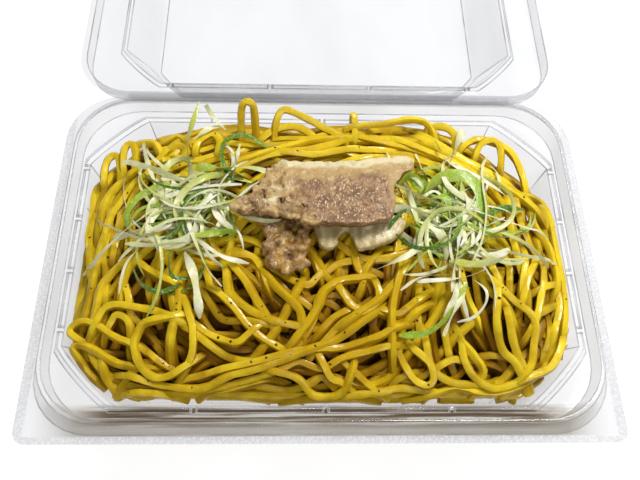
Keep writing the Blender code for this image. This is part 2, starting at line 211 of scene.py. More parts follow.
def press_ticks(sheet, crest, ticks, axis, near):
    """Short gaps in the rib: its crest is pressed down between two slices at each tick."""
    for tick in ticks:
        for step in (-1.0, -0.6, 0.6, 1.0):
            slice_across(sheet, axis, tick + step * TICK_HALF_WIDTH)
    bpy.ops.object.mode_set(mode="EDIT")
    pick(lambda vertex: abs(vertex.co.z - (FLANGE + crest) * MM) < 0.02 * MM and near(vertex.co)
         and any(abs(vertex.co[axis] - tick * MM) < 0.8 * TICK_HALF_WIDTH * MM for tick in ticks))
    bpy.ops.transform.translate(value=(0, 0, -TICK_DEPTH * MM))
    bpy.ops.object.mode_set(mode="OBJECT")


def finish_sheet(sheet, body, node):
    """Rounds the folds, gives the sheet its thickness and fits it to the frame."""
    take(sheet)
    sheet.data.materials.clear()
    sheet.data.materials.append(clear_sheet.material)
    sheet.data.materials.append(clear_fold.material)
    fold = sheet.modifiers.new("fold", "BEVEL")
    fold.width = FOLD_ROUND * MM
    fold.segments = 2
    fold.limit_method = "ANGLE"
    fold.angle_limit = math.radians(FOLD_ANGLE)
    fold.material = 1
    bpy.ops.object.modifier_apply(modifier="fold")
    thicken(sheet, SHEET)
    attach(sheet, body)
    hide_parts(node)


class Wire:
    """A socket in shader maths: each operator adds its Math node."""

    def __init__(self, finish, socket):
        self.finish = finish
        self.socket = socket

    def __add__(self, other):
        return self.finish.maths("ADD", self, other)

    def __sub__(self, other):
        return self.finish.maths("SUBTRACT", self, other)

    def __rsub__(self, other):
        return self.finish.maths("SUBTRACT", other, self)

    def __mul__(self, other):
        return self.finish.maths("MULTIPLY", self, other)


class Finish:
    """One material, whose nodes all come from node()."""

    def __init__(self, name, **constants):
        self.material = bpy.data.materials.new(name)
        self.material.use_nodes = True
        self.tree = self.material.node_tree
        self.shader = self.tree.nodes["Principled BSDF"]
        self.set(**constants)

    def set(self, **values):
        """Shader sockets by name: base_color="..." sets or links Base Color."""
        names = {socket.name.lower().replace(" ", "_"): socket for socket in self.shader.inputs}
        for name, value in values.items():
            self.feed(names[name], value)

    def feed(self, socket, value):
        """Links a wire to the socket, or sets the socket's own value."""
        if isinstance(value, Wire):
            self.tree.links.new(value.socket, socket)
        else:
            socket.default_value = value

    def node(self, kind, settings=None, sockets=None, out=0):
        """Any node: its settings first, then the values or wires of its sockets, by number or name."""
        made = self.tree.nodes.new("ShaderNode" + kind)
        for name, value in (settings or {}).items():
            setattr(made, name, value)
        for key, value in (sockets or {}).items():
            self.feed(made.inputs[key], value)
        return Wire(self, made.outputs[out])

    def maths(self, operation, *terms):
        """One Math node on values or wires."""
        return self.node("Math", {"operation": operation}, dict(enumerate(terms)))

    def place(self):
        """The place on the piece, in metres."""
        return self.node("TexCoord", out=3)

    def parts(self, vector):
        """A vector's x, y and z as three wires."""
        split = self.node("SeparateXYZ", sockets={0: vector})
        return [Wire(self, socket) for socket in split.socket.node.outputs]

    def mark(self, name):
        """A number that was written on the piece's vertices."""
        return self.node("Attribute", {"attribute_name": name}, out=2)

    def grain(self, size, detail=2.0, stretch=None, roughness=0.5):
        """Noise from 0 to 1 with features of about that size in metres."""
        place = self.place()
        if stretch:
            place = self.node("Mapping", sockets={"Vector": place, "Scale": stretch})
        sockets = {"Vector": place, "Scale": 1 / size, "Detail": detail, "Roughness": roughness}
        return self.node("TexNoise", sockets=sockets)

    def span(self, value, low, high, start=0.0, end=1.0):
        """The value from low..high spread over start..end, clamped."""
        sockets = {0: value, 1: low, 2: high, 3: start, 4: end}
        return self.node("MapRange", {"clamp": True}, sockets)

    def mix(self, share, low, high):
        """From the low colour to the high one, by share."""
        return self.node("Mix", {"data_type": "RGBA"}, {0: share, 6: low, 7: high}, out=2)

    def bump(self, height, distance):
        """Relief of that depth, in metres, where the height goes from 0 to 1."""
        return self.node("Bump", sockets={"Height": height, "Distance": distance})


def see_through(sheet, share):
    """Sets how much of the sheet's own surface shows over what lies behind it."""
    clear = sheet.node("BsdfTransparent", sockets={"Color": (0.948, 0.950, 0.955, 1)})
    own = Wire(sheet, sheet.shader.outputs[0])
    both = sheet.node("MixShader", sockets={0: sheet.maths("MINIMUM", share, 0.8), 1: clear, 2: own})
    sheet.feed(sheet.tree.nodes["Material Output"].inputs["Surface"], both)


def clear_finish():
    """Clear formed sheet: see-through face on, grey at a glancing angle, frosted where the flange is knurled.
    On the front ridge it carries a brown-grey band of painted shadow, and dark brown streaks of painted
    reflection of the noodles with an oil film."""
    sheet = Finish("clear_sheet", ior=1.5, specular_ior_level=0.5)
    x, y = sheet.parts(sheet.place())[:2]
    facing = sheet.node("LayerWeight", sockets={"Blend": 0.35}, out=1)
    side = sheet.maths("ABSOLUTE", x)
    edge = sheet.maths("MAXIMUM", sheet.span(side, *KNURL_SIDE), sheet.span(y, *KNURL_FRONT))
    knurled = edge * sheet.span(y, *KNURL_BACK)
    knurl = sheet.node("TexVoronoi", sockets={"Vector": sheet.place(), "Scale": 1 / (KNURL_SIZE * MM)})
    dots = knurled * sheet.span(knurl, 0.25, 0.60)
    # painted shadow: a brown-grey band on the front ridge, standing for the heap's shadow on the table
    # beneath the clear sheet
    ridge = sheet.span(y, *SHADOW_BAND_FRONT) * (1 - knurled) * sheet.span(side, *SHADOW_BAND_ENDS)
    streaks = sheet.span(sheet.grain(4 * MM, 3.0, stretch=(0.12, 4.0, 1.0)), 0.38, 0.52)
    # painted reflection: dark brown streaks standing for the noodles mirrored in the front ridge, with an oil
    # film on it
    noodle_reflection_and_oil = ridge * sheet.span(y, *REFLECTION_AND_OIL_FRONT) * streaks * sheet.span(side, *REFLECTION_AND_OIL_ENDS)
    haze = sheet.span(sheet.grain(40 * MM, 2.0, stretch=(1.0, 0.5, 1.0)), 0.40, 0.62)
    # the sheet's own grey, turning brown-grey on the front band as painted shadow
    grey = sheet.mix(ridge, (0.60, 0.60, 0.62, 1), (0.32, 0.26, 0.155, 1))
    sheet.set(
        base_color=sheet.mix(noodle_reflection_and_oil, grey, (0.11, 0.06, 0.018, 1)),
        normal=sheet.bump(sheet.grain(7 * MM, 1.0) * 0.25 + knurl * knurled * 0.35, 0.5 * MM),
        roughness=sheet.span(knurled, 0, 1, 0.08, 0.40),
    )
    glance = sheet.maths("MINIMUM", facing * 0.42, 0.15)
    film = knurled * 0.06 + dots * 0.14 + ridge * 0.28 + noodle_reflection_and_oil * 0.62 + haze * 0.06
    see_through(sheet, glance + film + 0.02)
    return sheet


def fold_finish():
    """The same sheet where it is folded: it bends the light away and shows as a thin grey line."""
    fold = Finish("clear_fold", base_color=(0.24, 0.24, 0.26, 1), roughness=0.12, ior=1.5)
    facing = fold.node("LayerWeight", sockets={"Blend": 0.35}, out=1)
    see_through(fold, facing * 0.3 + fold.span(fold.grain(14 * MM, 2.0), 0.3, 0.7, 0.20, 0.66))
    return fold


clear_sheet = clear_finish()
clear_fold = fold_finish()
plans = [level(*TRAY_EDGE, 0.0, TRAY_CORNERS, ROUND, 0)]
for rows, corner, profile in (
    (RIDGE, RIDGE_CORNER, ROUND), (MOUTH, MOUTH_CORNER, CUT), (TRAY_WALL, FLOOR_CORNER, CUT)
):
    for half_x, half_y, z in rows:
        plans.append(level(half_x, -half_y, half_y, z, (corner, corner), profile, len(plans)))
tray = form_sheet("tray_sheet", plans)
press_ticks(tray, RIB_CREST, FRONT_TICKS, 0, lambda at: abs(at.y) > 50 * MM)
press_ticks(tray, RIB_CREST, SIDE_TICKS, 1, lambda at: abs(at.x) > 80 * MM)
finish_sheet(tray, "base", "tray")


# Clear lid: formed from the same sheet and lying fully open, so its dome hangs below its rim. The
# stepped rim drops over the tray's ridge when it is shut.

LID_HALF_WIDTH = 95.0
LID_NEAR = HINGE_LINE + HINGE_SLIT
LID_FAR = 197.5
LID_CORNER = 20.0
LID_STEP = ((2.2, 0.0, 18.5), (2.7, -6.6, 18.0))
DOME_CREST = -5.7
DOME_RIB = ((81.5, 9.9, -6.6), (80.5, 10.9, DOME_CREST), (79.5, 11.9, -6.6))
DOME_CORNER = 17.0
DOME_WALL = ((71.8, 19.4, -27.75), (70.0, 21.2, -29.55))
DOME_FLOOR_CORNER = 15.0
LID_TICKS = (-60.0, -20.0, 20.0, 60.0)


def lid_level(half_x, inset, z, corner, profile):
    """One level of the lid, inset by as much from its near edge as from its far one."""
    plans.append(level(half_x, LID_NEAR + inset, LID_FAR - inset, z, (corner, corner), profile, len(plans)))


plans = []
lid_level(LID_HALF_WIDTH, 0.0, 0.0, LID_CORNER, ROUND)
for inset, z, corner in LID_STEP:
    lid_level(LID_HALF_WIDTH - inset, inset, z, corner, ROUND)
for row in DOME_RIB:
    lid_level(*row, DOME_CORNER, CUT)
for row in DOME_WALL:
    lid_level(*row, DOME_FLOOR_CORNER, CUT)
lid = form_sheet("lid_sheet", plans)
press_ticks(lid, DOME_CREST, LID_TICKS, 0, lambda at: True)
finish_sheet(lid, "cover", "lid")


# Living hinge: the strip of thin sheet that joins the tray's flange to the lid's. It is pressed with two
# shallow flutes along the fold. The real strip bends as the lid shuts; here it is built flat, as it lies with
# the lid open.

HINGE_HALF_LENGTH = 74.0
HINGE_REACH = 1.1
HINGE_SHEET = 0.25
HINGE_FLUTE = 0.22
HINGE_RISE = 0.35
HINGE_CUTS = 15

let_go()
bpy.ops.mesh.primitive_plane_add(size=2 * MM, location=(0, HINGE_LINE * MM, (FLANGE + HINGE_RISE) * MM))
hinge = scaled(HINGE_HALF_LENGTH, HINGE_REACH, 1)
hinge.name = "hinge_strip"
edit_whole(bpy.ops.mesh.subdivide, number_cuts=HINGE_CUTS)
for vertex in hinge.data.vertices:
    share = (vertex.co.y / MM - HINGE_LINE) / HINGE_REACH
    vertex.co.z += HINGE_FLUTE * MM * abs(math.cos(share * math.pi)) * (1 - share * share)
thicken(hinge, HINGE_SHEET)
hinge.data.materials.append(clear_sheet.material)
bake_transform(hinge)


# Noodles: boiled yellow noodles about 3 mm across with slightly flat sides and square cut ends, tossed
# in oil and soy: a layer on the floor, rounds along the walls, then the heap, and last the strands that
# show on top. Those of the heap and the top are laid one by one, each on what already lies there.

NOODLE = 1.32
SEED = 7
CELL = 0.5
GRID_X = 92.0
GRID_Y = 62.0
HEAP_X = 84.0
HEAP_Y = 54.0
HEAP_BACK = 52.0
HEAP_EDGE = -4.0
HEAP_RISE = 19.5
EASE_SIDE = 14.0
EASE_FRONT = 18.0
EASE_BACK = 9.0
OPEN_LEFT = 110.0
OPEN_RIGHT = 101.0
PILE_BELOW = 8.0
PILE_FLOOR = -14.0
TOPPED = ((1.0, 5.0, 31.0, 21.0), (-46.0, 3.0, 20.0, 14.0), (42.0, 3.0, 15.0, 18.0))
TOPPED_SINK = 3.6
UNDER_RIM = 5.3
UNDER_DOME = 22.7
DOME_SIDE = (78.6, 9.5)
DOME_FRONT = (52.9, 8.5)
DOME_CHAMFER = (114.4, 12.6)
rng = np.random.default_rng(SEED)


def corner_room(x, y):
    """How far a place lies inside the two back corners that the heap leaves open, in mm."""
    return np.where(x > 0, OPEN_RIGHT, OPEN_LEFT) - np.abs(x) - np.maximum(y, 0)


def ease(room, reach):
    """From 0 at the heap's edge to almost 1 a few times the reach inside it."""
    return 1 - np.exp(-np.maximum(room, 0) / reach)


def heap_height(x, y):
    """Top of the heap over the flange in mm."""
    across = ease(HEAP_X - np.abs(x), EASE_SIDE)
    along = ease(y + HEAP_Y, EASE_FRONT)
    back = ease(HEAP_BACK - y, EASE_BACK)
    corner = ease(corner_room(x, y), EASE_BACK)
    swell = 0.6 * np.sin(x / 11.0) * np.cos(y / 9.0)
    return HEAP_EDGE + (HEAP_RISE + swell) * across * along * back * corner


def lid_room(x, y):
    """Height under the shut lid: low over the rim's shelf, rising along the dome's walls."""
    across = (DOME_SIDE[0] - np.abs(x)) / DOME_SIDE[1]
    along = (DOME_FRONT[0] - np.abs(y)) / DOME_FRONT[1]
    corner = (DOME_CHAMFER[0] - np.abs(x) - np.abs(y)) / DOME_CHAMFER[1]
    return UNDER_RIM + UNDER_DOME * np.clip(np.minimum(np.minimum(across, along), corner), 0, 1)


def easy_height(x, y, crowd):
    """Up to where the heap fills freely, lower under the pork and onion. Above it strands press together."""
    easy = heap_height(x, y) + crowd
    for cx, cy, rx, ry in TOPPED:
        inside = np.sqrt(((x - cx) / rx) ** 2 + ((y - cy) / ry) ** 2)
        easy = easy - (crowd + TOPPED_SINK) * np.clip((1.25 - inside) / 0.3, 0, 1)
    return easy


# The pile's height over a grid of cells, which every strand laid on it raises
grid_x, grid_y = np.meshgrid(
    np.arange(-GRID_X, GRID_X + CELL, CELL), np.arange(-GRID_Y, GRID_Y + CELL, CELL), indexing="ij"
)
pile = np.maximum(heap_height(grid_x, grid_y) - PILE_BELOW, PILE_FLOOR)

LAY_STEP = 1.0
SOFTNESS = 0.40
SPRING = 9.0
GIVE = 0.55
TUCK_DEPTH = 4.6


def cells_at(x, y, margin=0):
    """The pile's cells at those places, kept that many cells inside its edge."""
    column = np.clip(np.rint((x + GRID_X) / CELL).astype(int), margin, pile.shape[0] - 1 - margin)
    row = np.clip(np.rint((y + GRID_Y) / CELL).astype(int), margin, pile.shape[1] - 1 - margin)
    return column, row


def footprint(radius, half_height):
    """Cells under a strand's cross-section, as steps from its middle, and how far it bulges there."""
    reach = int(radius / CELL) + 1
    cells = [
        (i, j, half_height * math.sqrt(max(1 - (i * i + j * j) * CELL * CELL / radius**2, 0)))
        for i in range(-reach, reach + 1)
        for j in range(-reach, reach + 1)
        if (i * i + j * j) * CELL * CELL < radius**2
    ]
    return [np.array(column) for column in zip(*cells)]


def settle(route, radius=NOODLE, half_height=NOODLE, spring=SPRING, softness=SOFTNESS, crowd=None, tuck=0):
    """Lays a strand on the pile along its plan route, and returns its points in mm. Above the easy
    height plus crowd it presses into the heap. Its first and last tuck points dive under what lies there."""
    offset_x, offset_y, bulge = footprint(radius, half_height)
    x, y = route[:, 0], route[:, 1]
    column, row = cells_at(x, y, margin=4)
    cells = (column[:, None] + offset_x.astype(int), row[:, None] + offset_y.astype(int))
    need = (pile[cells] + bulge).max(axis=1) - softness
    along = np.concatenate([[0], np.cumsum(np.hypot(np.diff(x), np.diff(y)))])
    gap = along[:, None] - along[None, :]
    z = (need[None, :] - gap**2 / (2 * spring)).max(axis=1)
    weight = np.exp(-((gap / 1.8) ** 2))
    z = (weight @ z) / weight.sum(axis=1)
    if crowd is not None:
        easy = easy_height(x, y, crowd)
        z = np.where(z > easy, easy + (z - easy) * GIVE, z)
        z = (weight @ z) / weight.sum(axis=1)
    z = np.minimum(z, lid_room(x, y) - half_height)
    if tuck:
        ahead = np.minimum(np.arange(len(z)), np.arange(len(z))[::-1])
        z = z - TUCK_DEPTH * np.clip((tuck - ahead) / tuck, 0, 1) ** 1.5
    np.maximum.at(pile, cells, z[:, None] + bulge)
    return np.column_stack([x, y, z])


def smooth_route(points, step=LAY_STEP):
    """A smooth curve through the plan points, at even steps."""
    points = np.array(points, float)
    ends = np.vstack([2 * points[0] - points[1], points, 2 * points[-1] - points[-2]])
    curve = []
    for i in range(1, len(ends) - 2):
        before, here, there, after = ends[i - 1 : i + 3]
        for t in np.linspace(0, 1, 12, endpoint=False):
            curve.append(
                0.5 * (2 * here + (there - before) * t + (2 * before - 5 * here + 4 * there - after) * t**2
                       + (3 * here - before - 3 * there + after) * t**3)
            )
    curve.append(ends[-2])
    curve = np.array(curve)
    length = np.concatenate([[0], np.cumsum(np.linalg.norm(np.diff(curve, axis=0), axis=1))])
    count = max(int(length[-1] / step), 3)
    want = np.linspace(0, length[-1], count + 1)
    return np.column_stack([np.interp(want, length, curve[:, k]) for k in range(curve.shape[1])])


MOUTH_ROOM = (83.2, 52.7)
MOUTH_CHAMFER = 17.0


def inside_tray(x, y):
    """Whether a strand's middle clears the tray's mouth there, and the two open back corners."""
    half_x, half_y = MOUTH_ROOM[0] - NOODLE, MOUTH_ROOM[1] - NOODLE
    in_chamfer = abs(x) + abs(y) < half_x + half_y - MOUTH_CHAMFER
    return abs(x) < half_x and abs(y) < half_y and in_chamfer and corner_room(x, y) > 1


# How the noodles lie, as seen from above: plan place and direction in degrees
FLOW = (
    (-79, 25, 95), (-79, 0, 95), (-78, -20, 88), (-72, -35, 20), (-60, -46, 5), (-64, 12, 62), (-70, -12, 75),
    (-55, -28, 150), (-45, -40, 5), (-20, -45, 8), (0, -40, 22), (-40, -20, 100), (-25, -22, 125),
    (-8, -22, 135), (0, -32, 45), (15, -25, 60), (25, -22, 75), (28, -38, 100), (10, -50, 5), (40, -47, 5),
    (45, -35, 95), (58, -35, 110), (72, -42, 40), (78, -30, 95), (80, 0, 92), (72, 5, 100), (60, -8, 110),
    (62, 20, 140), (45, 33, 150), (25, 38, 175), (0, 38, 12), (-20, 36, 15), (-45, 37, 5), (-65, 33, 10),
    (-35, 5, 40), (0, 10, 10), (42, 5, 95), (-50, 15, 50), (78, 20, 120),
)
TURN_RATE = 0.085
LOOK_AHEAD = 8.0


def flow(x, y):
    """The lie of the noodles there, as an angle whose sense doesn't matter."""
    east = north = 0.0
    for at_x, at_y, degrees in FLOW:
        weight = 1 / ((x - at_x) ** 2 + (y - at_y) ** 2 + 40.0) ** 2
        east += weight * math.cos(math.radians(2 * degrees))
        north += weight * math.sin(math.radians(2 * degrees))
    return math.atan2(north, east) / 2


def wander(x, y, length, stray):
    """A plan route that follows the lie of the noodles loosely and turns back before the tray's wall."""
    aim = flow(x, y) + stray + (math.pi if rng.uniform() < 0.5 else 0)
    phase, pace, route = rng.uniform(0, math.tau), rng.uniform(0.04, 0.11), []
    for step in range(int(length / LAY_STEP)):
        if not inside_tray(x, y):
            break
        route.append((x, y))
        wanted = flow(x, y) + stray + 0.35 * math.sin(phase + step * pace)
        off = (wanted - aim + math.pi / 2) % math.pi - math.pi / 2
        turn = np.clip(off * 0.10, -TURN_RATE, TURN_RATE)
        if not inside_tray(x + LOOK_AHEAD * math.cos(aim), y + LOOK_AHEAD * math.sin(aim)):
            side = math.cos(aim) * -y - math.sin(aim) * -x
            turn = math.copysign(2.2 * TURN_RATE, side)
        aim += turn
        x += LAY_STEP * math.cos(aim)
        y += LAY_STEP * math.sin(aim)
    return np.array(route)


strands = []


def add_strand(points, tone=None, depth=0.0):
    """Adds a strand by its final points, with its tone and how deep it lies sunk, both from 0 to 1."""
    size = NOODLE * rng.uniform(0.93, 1.07)
    count = len(points)
    radii = size * (1 + 0.04 * np.sin(np.arange(count) * 0.9 + rng.uniform(0, 6)))
    tilts = np.cumsum(rng.normal(0, 0.06, count)) + rng.uniform(0, 0.8)
    tone = rng.uniform(0, 1) if tone is None else tone
    marks = {"tone": np.full(count, tone), "depth": np.full(count, depth)}
    strands.append({"points": points, "radii": radii, "tilts": tilts, "marks": marks})


# Floor layer: straight strands side by side, shorter where the tray's corners are cut off
FLOOR_STRANDS = 32
FLOOR_FIRST = -41.5
FLOOR_GAP = 2.7
FLOOR_HALF = 71.5
FLOOR_CUT_FROM = 32
FLOOR_Z = -27.6
for number in range(FLOOR_STRANDS):
    y = FLOOR_FIRST + number * FLOOR_GAP
    half = FLOOR_HALF - max(abs(y) - FLOOR_CUT_FROM, 0) * 1.1
    sway = [y + rng.uniform(-1, 1), y + rng.uniform(-1, 1)]
    route = smooth_route([(-half, y), (-20, sway[0]), (25, sway[1]), (half, y)], 4.0)
    add_strand(np.column_stack([route, np.full(len(route), FLOOR_Z) + rng.uniform(-0.2, 0.4, len(route))]))

# Wall layers: rounds along the tray's tapering walls, each cut into a few strands
WALL_LEVELS = np.arange(-26.5, -1.0, 2.5)
WALL_FOOT = (75.2, 44.7)
WALL_TAPER = 7.0
WALL_HEIGHT = 27.5
WALL_CHAMFER = 16.5


def runs_where(kept):
    """First and last index of each stretch where kept is true."""
    edges = np.flatnonzero(np.diff(np.concatenate([[0], kept.astype(int), [0]])))
    return zip(edges[::2], edges[1::2])


for height in WALL_LEVELS:
    taper = (height + WALL_HEIGHT) / WALL_HEIGHT
    half_x, half_y = (foot + WALL_TAPER * taper - NOODLE for foot in WALL_FOOT)
    cut_x, cut_y = half_x - WALL_CHAMFER, half_y - WALL_CHAMFER
    turn = [
        (half_x, -cut_y), (half_x, cut_y), (cut_x, half_y), (-cut_x, half_y),
        (-half_x, cut_y), (-half_x, -cut_y), (-cut_x, -half_y), (cut_x, -half_y),
    ]
    round_trip = []
    for a, b in zip(turn, turn[1:] + turn[:1]):
        count = max(int(math.dist(a, b) / 6), 2)
        round_trip += [tuple(np.add(a, np.subtract(b, a) * k / count)) for k in range(count)]
    start = rng.integers(0, len(round_trip))
    round_trip = round_trip[start:] + round_trip[:start]
    cuts = sorted(rng.choice(len(round_trip), 3, replace=False))
    for first, last in zip([0] + cuts, cuts + [len(round_trip)]):
        if last - first < 5:
            continue
        route = smooth_route(round_trip[first:last], 3.0)
        sway = 0.9 * np.sin(np.arange(len(route)) * 0.35 + rng.uniform(0, 6)) + rng.uniform(-0.5, 0.5)
        pull = 1 - 0.010 * np.abs(np.sin(np.arange(len(route)) * 0.21 + rng.uniform(0, 6)))
        line = np.column_stack([route * pull[:, None], height + sway])
        filled = corner_room(line[:, 0], line[:, 1]) > (3 if height > -17 else -99)
        for run_from, run_to in runs_where(filled):
            if run_to - run_from > 4:
                # the depth mark darkens the lower rounds along the walls, as painted shade
                add_strand(line[run_from:run_to], depth=rng.uniform(0.0, 0.3) * min(-height / 12 + 0.1, 1))

# Heap: long strands that follow the lie of the noodles, each laid only where there is room for it
HEAP_TRIES = 1500
HEAP_LENGTH = (70, 190)
SHORTEST = 26
FULL = 0.4
FILL = (-4.0, 2.6)
BACK_FILL = 2.2


def room_left(x, y, crowd):
    """Where the pile hasn't reached its easy height yet."""
    return pile[cells_at(x, y)] < easy_height(x, y, crowd) + FULL


laid = []
for attempt in range(HEAP_TRIES):
    x, y = rng.uniform(-81, 81), rng.uniform(-51, 51)
    share = attempt / HEAP_TRIES
    fill = FILL[0] + FILL[1] * share
    if not inside_tray(x, y) or not room_left(np.array([x]), np.array([y]), fill)[0]:
        continue
    route = wander(x, y, rng.uniform(*HEAP_LENGTH), rng.normal(0, 0.45 - 0.20 * share))
    if len(route) < SHORTEST:
        continue
    x, y = route.T
    crowd = fill + BACK_FILL * np.clip((y - 2) / 16, 0, 1) * np.clip((50 - y) / 10, 0, 1)
    if room_left(x, y, crowd).mean() > 0.5:
        laid.append((settle(route, crowd=crowd, tuck=7), None))

# Top: the strands that show, as plan routes in mm, laid in this order
SHOWN = (
    ((-48, -23), (-47, -28), (-48, -32), (-48, -36)),
    ((-57, -37), (-52, -41), (-47, -44)),
    ((-60, -10), (-55, -14), (-49, -17)),
    ((-37, -16), (-36, -19), (-32, -21)),
    ((-46, -20), (-46, -25), (-47, -30), (-48, -35)),
    ((-31, -9), (-31, -14), (-30, -21), (-25, -26), (-21, -30)),
    ((-28, -13), (-25, -17), (-22, -22), (-21, -27)),
    ((-36, -24), (-32, -29), (-26, -30), (-20, -31)),
    ((-28, -6), (-24, -8), (-22, -11), (-21, -14)),
    ((-3, -7), (-1, -11), (1, -15), (3, -17)),
    ((-27, -8), (-23, -9), (-20, -14), (-19, -17)),
    ((-13, -19), (-11, -21), (-7, -24), (-4, -26)),
    ((-19, -11), (-14, -14), (-9, -17), (-5, -18), (-2, -15)),
    ((-29, -13), (-25, -18), (-22, -23), (-18, -29)),
    ((10, -7), (11, -12), (13, -15)),
    ((17, -8), (14, -12), (13, -16)),
    ((-14, -52), (-4, -53), (8, -52), (18, -53)),
    ((8, -51), (18, -50), (24, -49), (37, -50), (46, -48)),
    ((25, -52), (34, -51), (41, -49), (48, -50), (55, -50), (63, -48), (69, -44)),
    ((-21, -48), (-11, -49), (-5, -48), (-1, -46), (2, -48)),
    ((7, -43), (12, -47), (15, -49)),
    ((20, -51), (21, -48), (24, -46), (27, -45)),
    ((34, -44), (40, -41), (44, -41)),
    ((32, -37), (33, -42), (36, -46), (42, -48), (48, -48)),
    ((23, -39), (25, -43), (28, -47), (32, -49), (34, -47), (33, -43), (30, -40)),
    ((44, -37), (44, -41), (47, -46), (53, -49), (59, -48), (64, -46), (66, -41)),
    ((47, -40), (50, -44), (49, -47)),
    ((-80, 8), (-79, 1), (-76, -6)),
    ((-81, 29), (-81, 21), (-80, 10), (-80, 3), (-78, -6)),
    ((-75, 27), (-77, 21), (-78, 13), (-79, 3), (-77, -10)),
    ((-60, 23), (-64, 20), (-68, 14), (-72, 8), (-73, -2)),
    ((-66, 25), (-72, 20), (-75, 14), (-76, 4)),
    ((-72, 7), (-73, 1), (-75, -8), (-76, -17), (-77, -25)),
    ((-63, -9), (-68, -12), (-72, -17), (-73, -23), (-74, -28)),
    ((-59, -6), (-63, -12), (-65, -18), (-65, -23)),
    ((64, 18), (64, 5), (65, -8), (67, -18), (67, -25)),
    ((78, 17), (82, 6), (82, -7), (79, -19)),
    ((79, -14), (79, -22), (76, -30)),
    ((74, -16), (79, -14), (81, -17)),
    ((71, -25), (76, -22), (80, -20)),
    ((55, -10), (57, -16), (58, -23), (60, -28)),
    ((57, -2), (60, -5), (62, -10), (61, -17)),
    ((63, 21), (67, 16), (68, 8), (71, 0), (74, -7), (73, -15), (70, -24)),
    ((73, 12), (75, 7), (79, 0), (80, -8), (79, -14)),
    ((72, 18), (78, 18), (81, 14), (81.5, 9), (81.5, 0), (81.5, -9), (81, -21), (79, -31)),
    ((51, -13), (54, -20), (57, -23)),
    ((67, -9), (65, -16), (64, -22)),
    ((71, -8), (67, -15), (65, -21)),
    ((71, -21), (69, -27), (67, -31)),
    ((59, -29), (60, -35), (62, -40), (64, -44)),
    ((56, -20), (55, -26), (55, -31), (57, -38), (60, -41), (62, -44)),
    ((65, -46), (72, -43), (76, -38), (79, -32)),
    ((56, -18), (61, -23), (66, -26), (68, -30), (67, -36), (66, -42), (63, -46), (59, -49)),
    ((-30, 25), (-18, 30), (-3, 36), (8, 38)),
    ((-12, 30), (-3, 30), (10, 33), (20, 33)),
    ((-62, 37), (-57, 37), (-52, 39), (-49, 37)),
    ((51, 20), (62, 20), (70, 17)),
    ((27, 37), (41, 29), (54, 22), (69, 16), (79, 10)),
    ((36, 38), (48, 27), (60, 21)),
    ((34, 43), (47, 30), (63, 21)),
    ((-8, -19), (-11, -25), (-15, -33), (-20, -39), (-23, -42)),
    ((-2, -24), (-4, -31), (-8, -37), (-13, -42)),
    ((-31, -16), (-30, -22), (-25, -26), (-20, -29), (-14, -31), (-8, -32)),
    ((-19, -15), (-16, -19), (-12, -23), (-8, -27), (-7, -31)),
    ((-33, -22), (-28, -27), (-24, -32), (-19, -36), (-15, -38)),
    ((26, -13), (23, -17), (19, -21), (17, -25)),
    ((29, -27), (25, -31), (24, -35)),
    ((30, -23), (26, -26), (23, -28), (19, -27)),
    ((20, -33), (14, -37), (9, -39)),
    ((7, -27), (3, -29), (0, -32)),
    ((5, -20), (8, -25), (11, -27), (14, -27)),
    ((-9, -36), (-5, -31), (-2, -26), (0, -21), (5, -17), (11, -16), (15, -16), (17, -20), (17, -24),
     (14, -27), (9, -29), (4, -32), (0, -36), (-3, -39)),
    ((26, -13), (22, -19), (17, -24), (11, -28), (8, -30)),
    ((24, -15), (22, -22), (21, -28), (21, -39)),
    ((-39, -32), (-36, -34), (-31, -36), (-27, -37), (-23, -34)),
    ((-40, -34), (-36, -37), (-31, -40), (-25, -42), (-20, -42)),
    ((-65, -50), (-57, -50), (-45, -51)),
    ((-64, -48), (-61, -45)),
    ((-39, -51), (-36, -50), (-29, -49), (-20, -47)),
    ((-69, -43), (-68, -46), (-65, -50)),
    ((-46, -50), (-34, -49), (-20, -46), (-13, -44), (-8, -42), (-1, -44), (6, -41), (19, -38)),
    ((-41, -46), (-31, -44), (-20, -42), (-8, -39), (5, -38), (17, -35), (21, -33)),
    ((-59, -46), (-52, -48), (-44, -49), (-37, -49), (-29, -46), (-20, -44), (-5, -39), (5, -35), (14, -29)),
    ((0, -44), (2, -47), (5, -48)),
    ((-15, -45), (-8, -47), (-4, -51), (1, -52), (6, -50), (8, -46)),
    ((-62, -23), (-61, -27), (-57, -31)),
    ((-68, -30), (-66, -27), (-63, -28), (-61, -31), (-61, -36)),
    ((-59, -43), (-64, -42), (-68, -40), (-73, -37), (-78, -35), (-80, -36), (-78, -39), (-74, -44),
     (-69, -48)),
    ((-61, -36), (-66, -34), (-72, -30), (-77, -28), (-81, -29), (-81.5, -31), (-79, -33)),
    ((-43, -26), (-41, -33), (-41, -40), (-43, -44), (-45, -47)),
    ((-72, -29), (-70, -25), (-66, -24), (-61, -25), (-55, -26), (-48, -29)),
    ((-48, -29), (-54, -30), (-57, -31), (-59, -35), (-59, -38), (-57, -43), (-53, -46), (-48, -46),
     (-44, -44)),
)
ENDS_OUT = 9
SHOWN_LIMIT = ((-82.0, -51.6), (82.0, 52.0))


def lengthen(route):
    """Carries a plan route on past both of its ends, turning gently, so that its ends can tuck under."""
    route = smooth_route(route)
    for _ in range(2):
        route = route[::-1]
        heading = route[-1] - route[-4]
        aim = math.atan2(heading[1], heading[0])
        bend = rng.uniform(-0.06, 0.06)
        extra = []
        x, y = route[-1]
        for step in range(ENDS_OUT):
            aim += bend
            x, y = x + LAY_STEP * math.cos(aim), y + LAY_STEP * math.sin(aim)
            if not inside_tray(x, y):
                break
            extra.append((x, y))
        if extra:
            route = np.vstack([route, extra])
    return np.clip(route, *SHOWN_LIMIT)


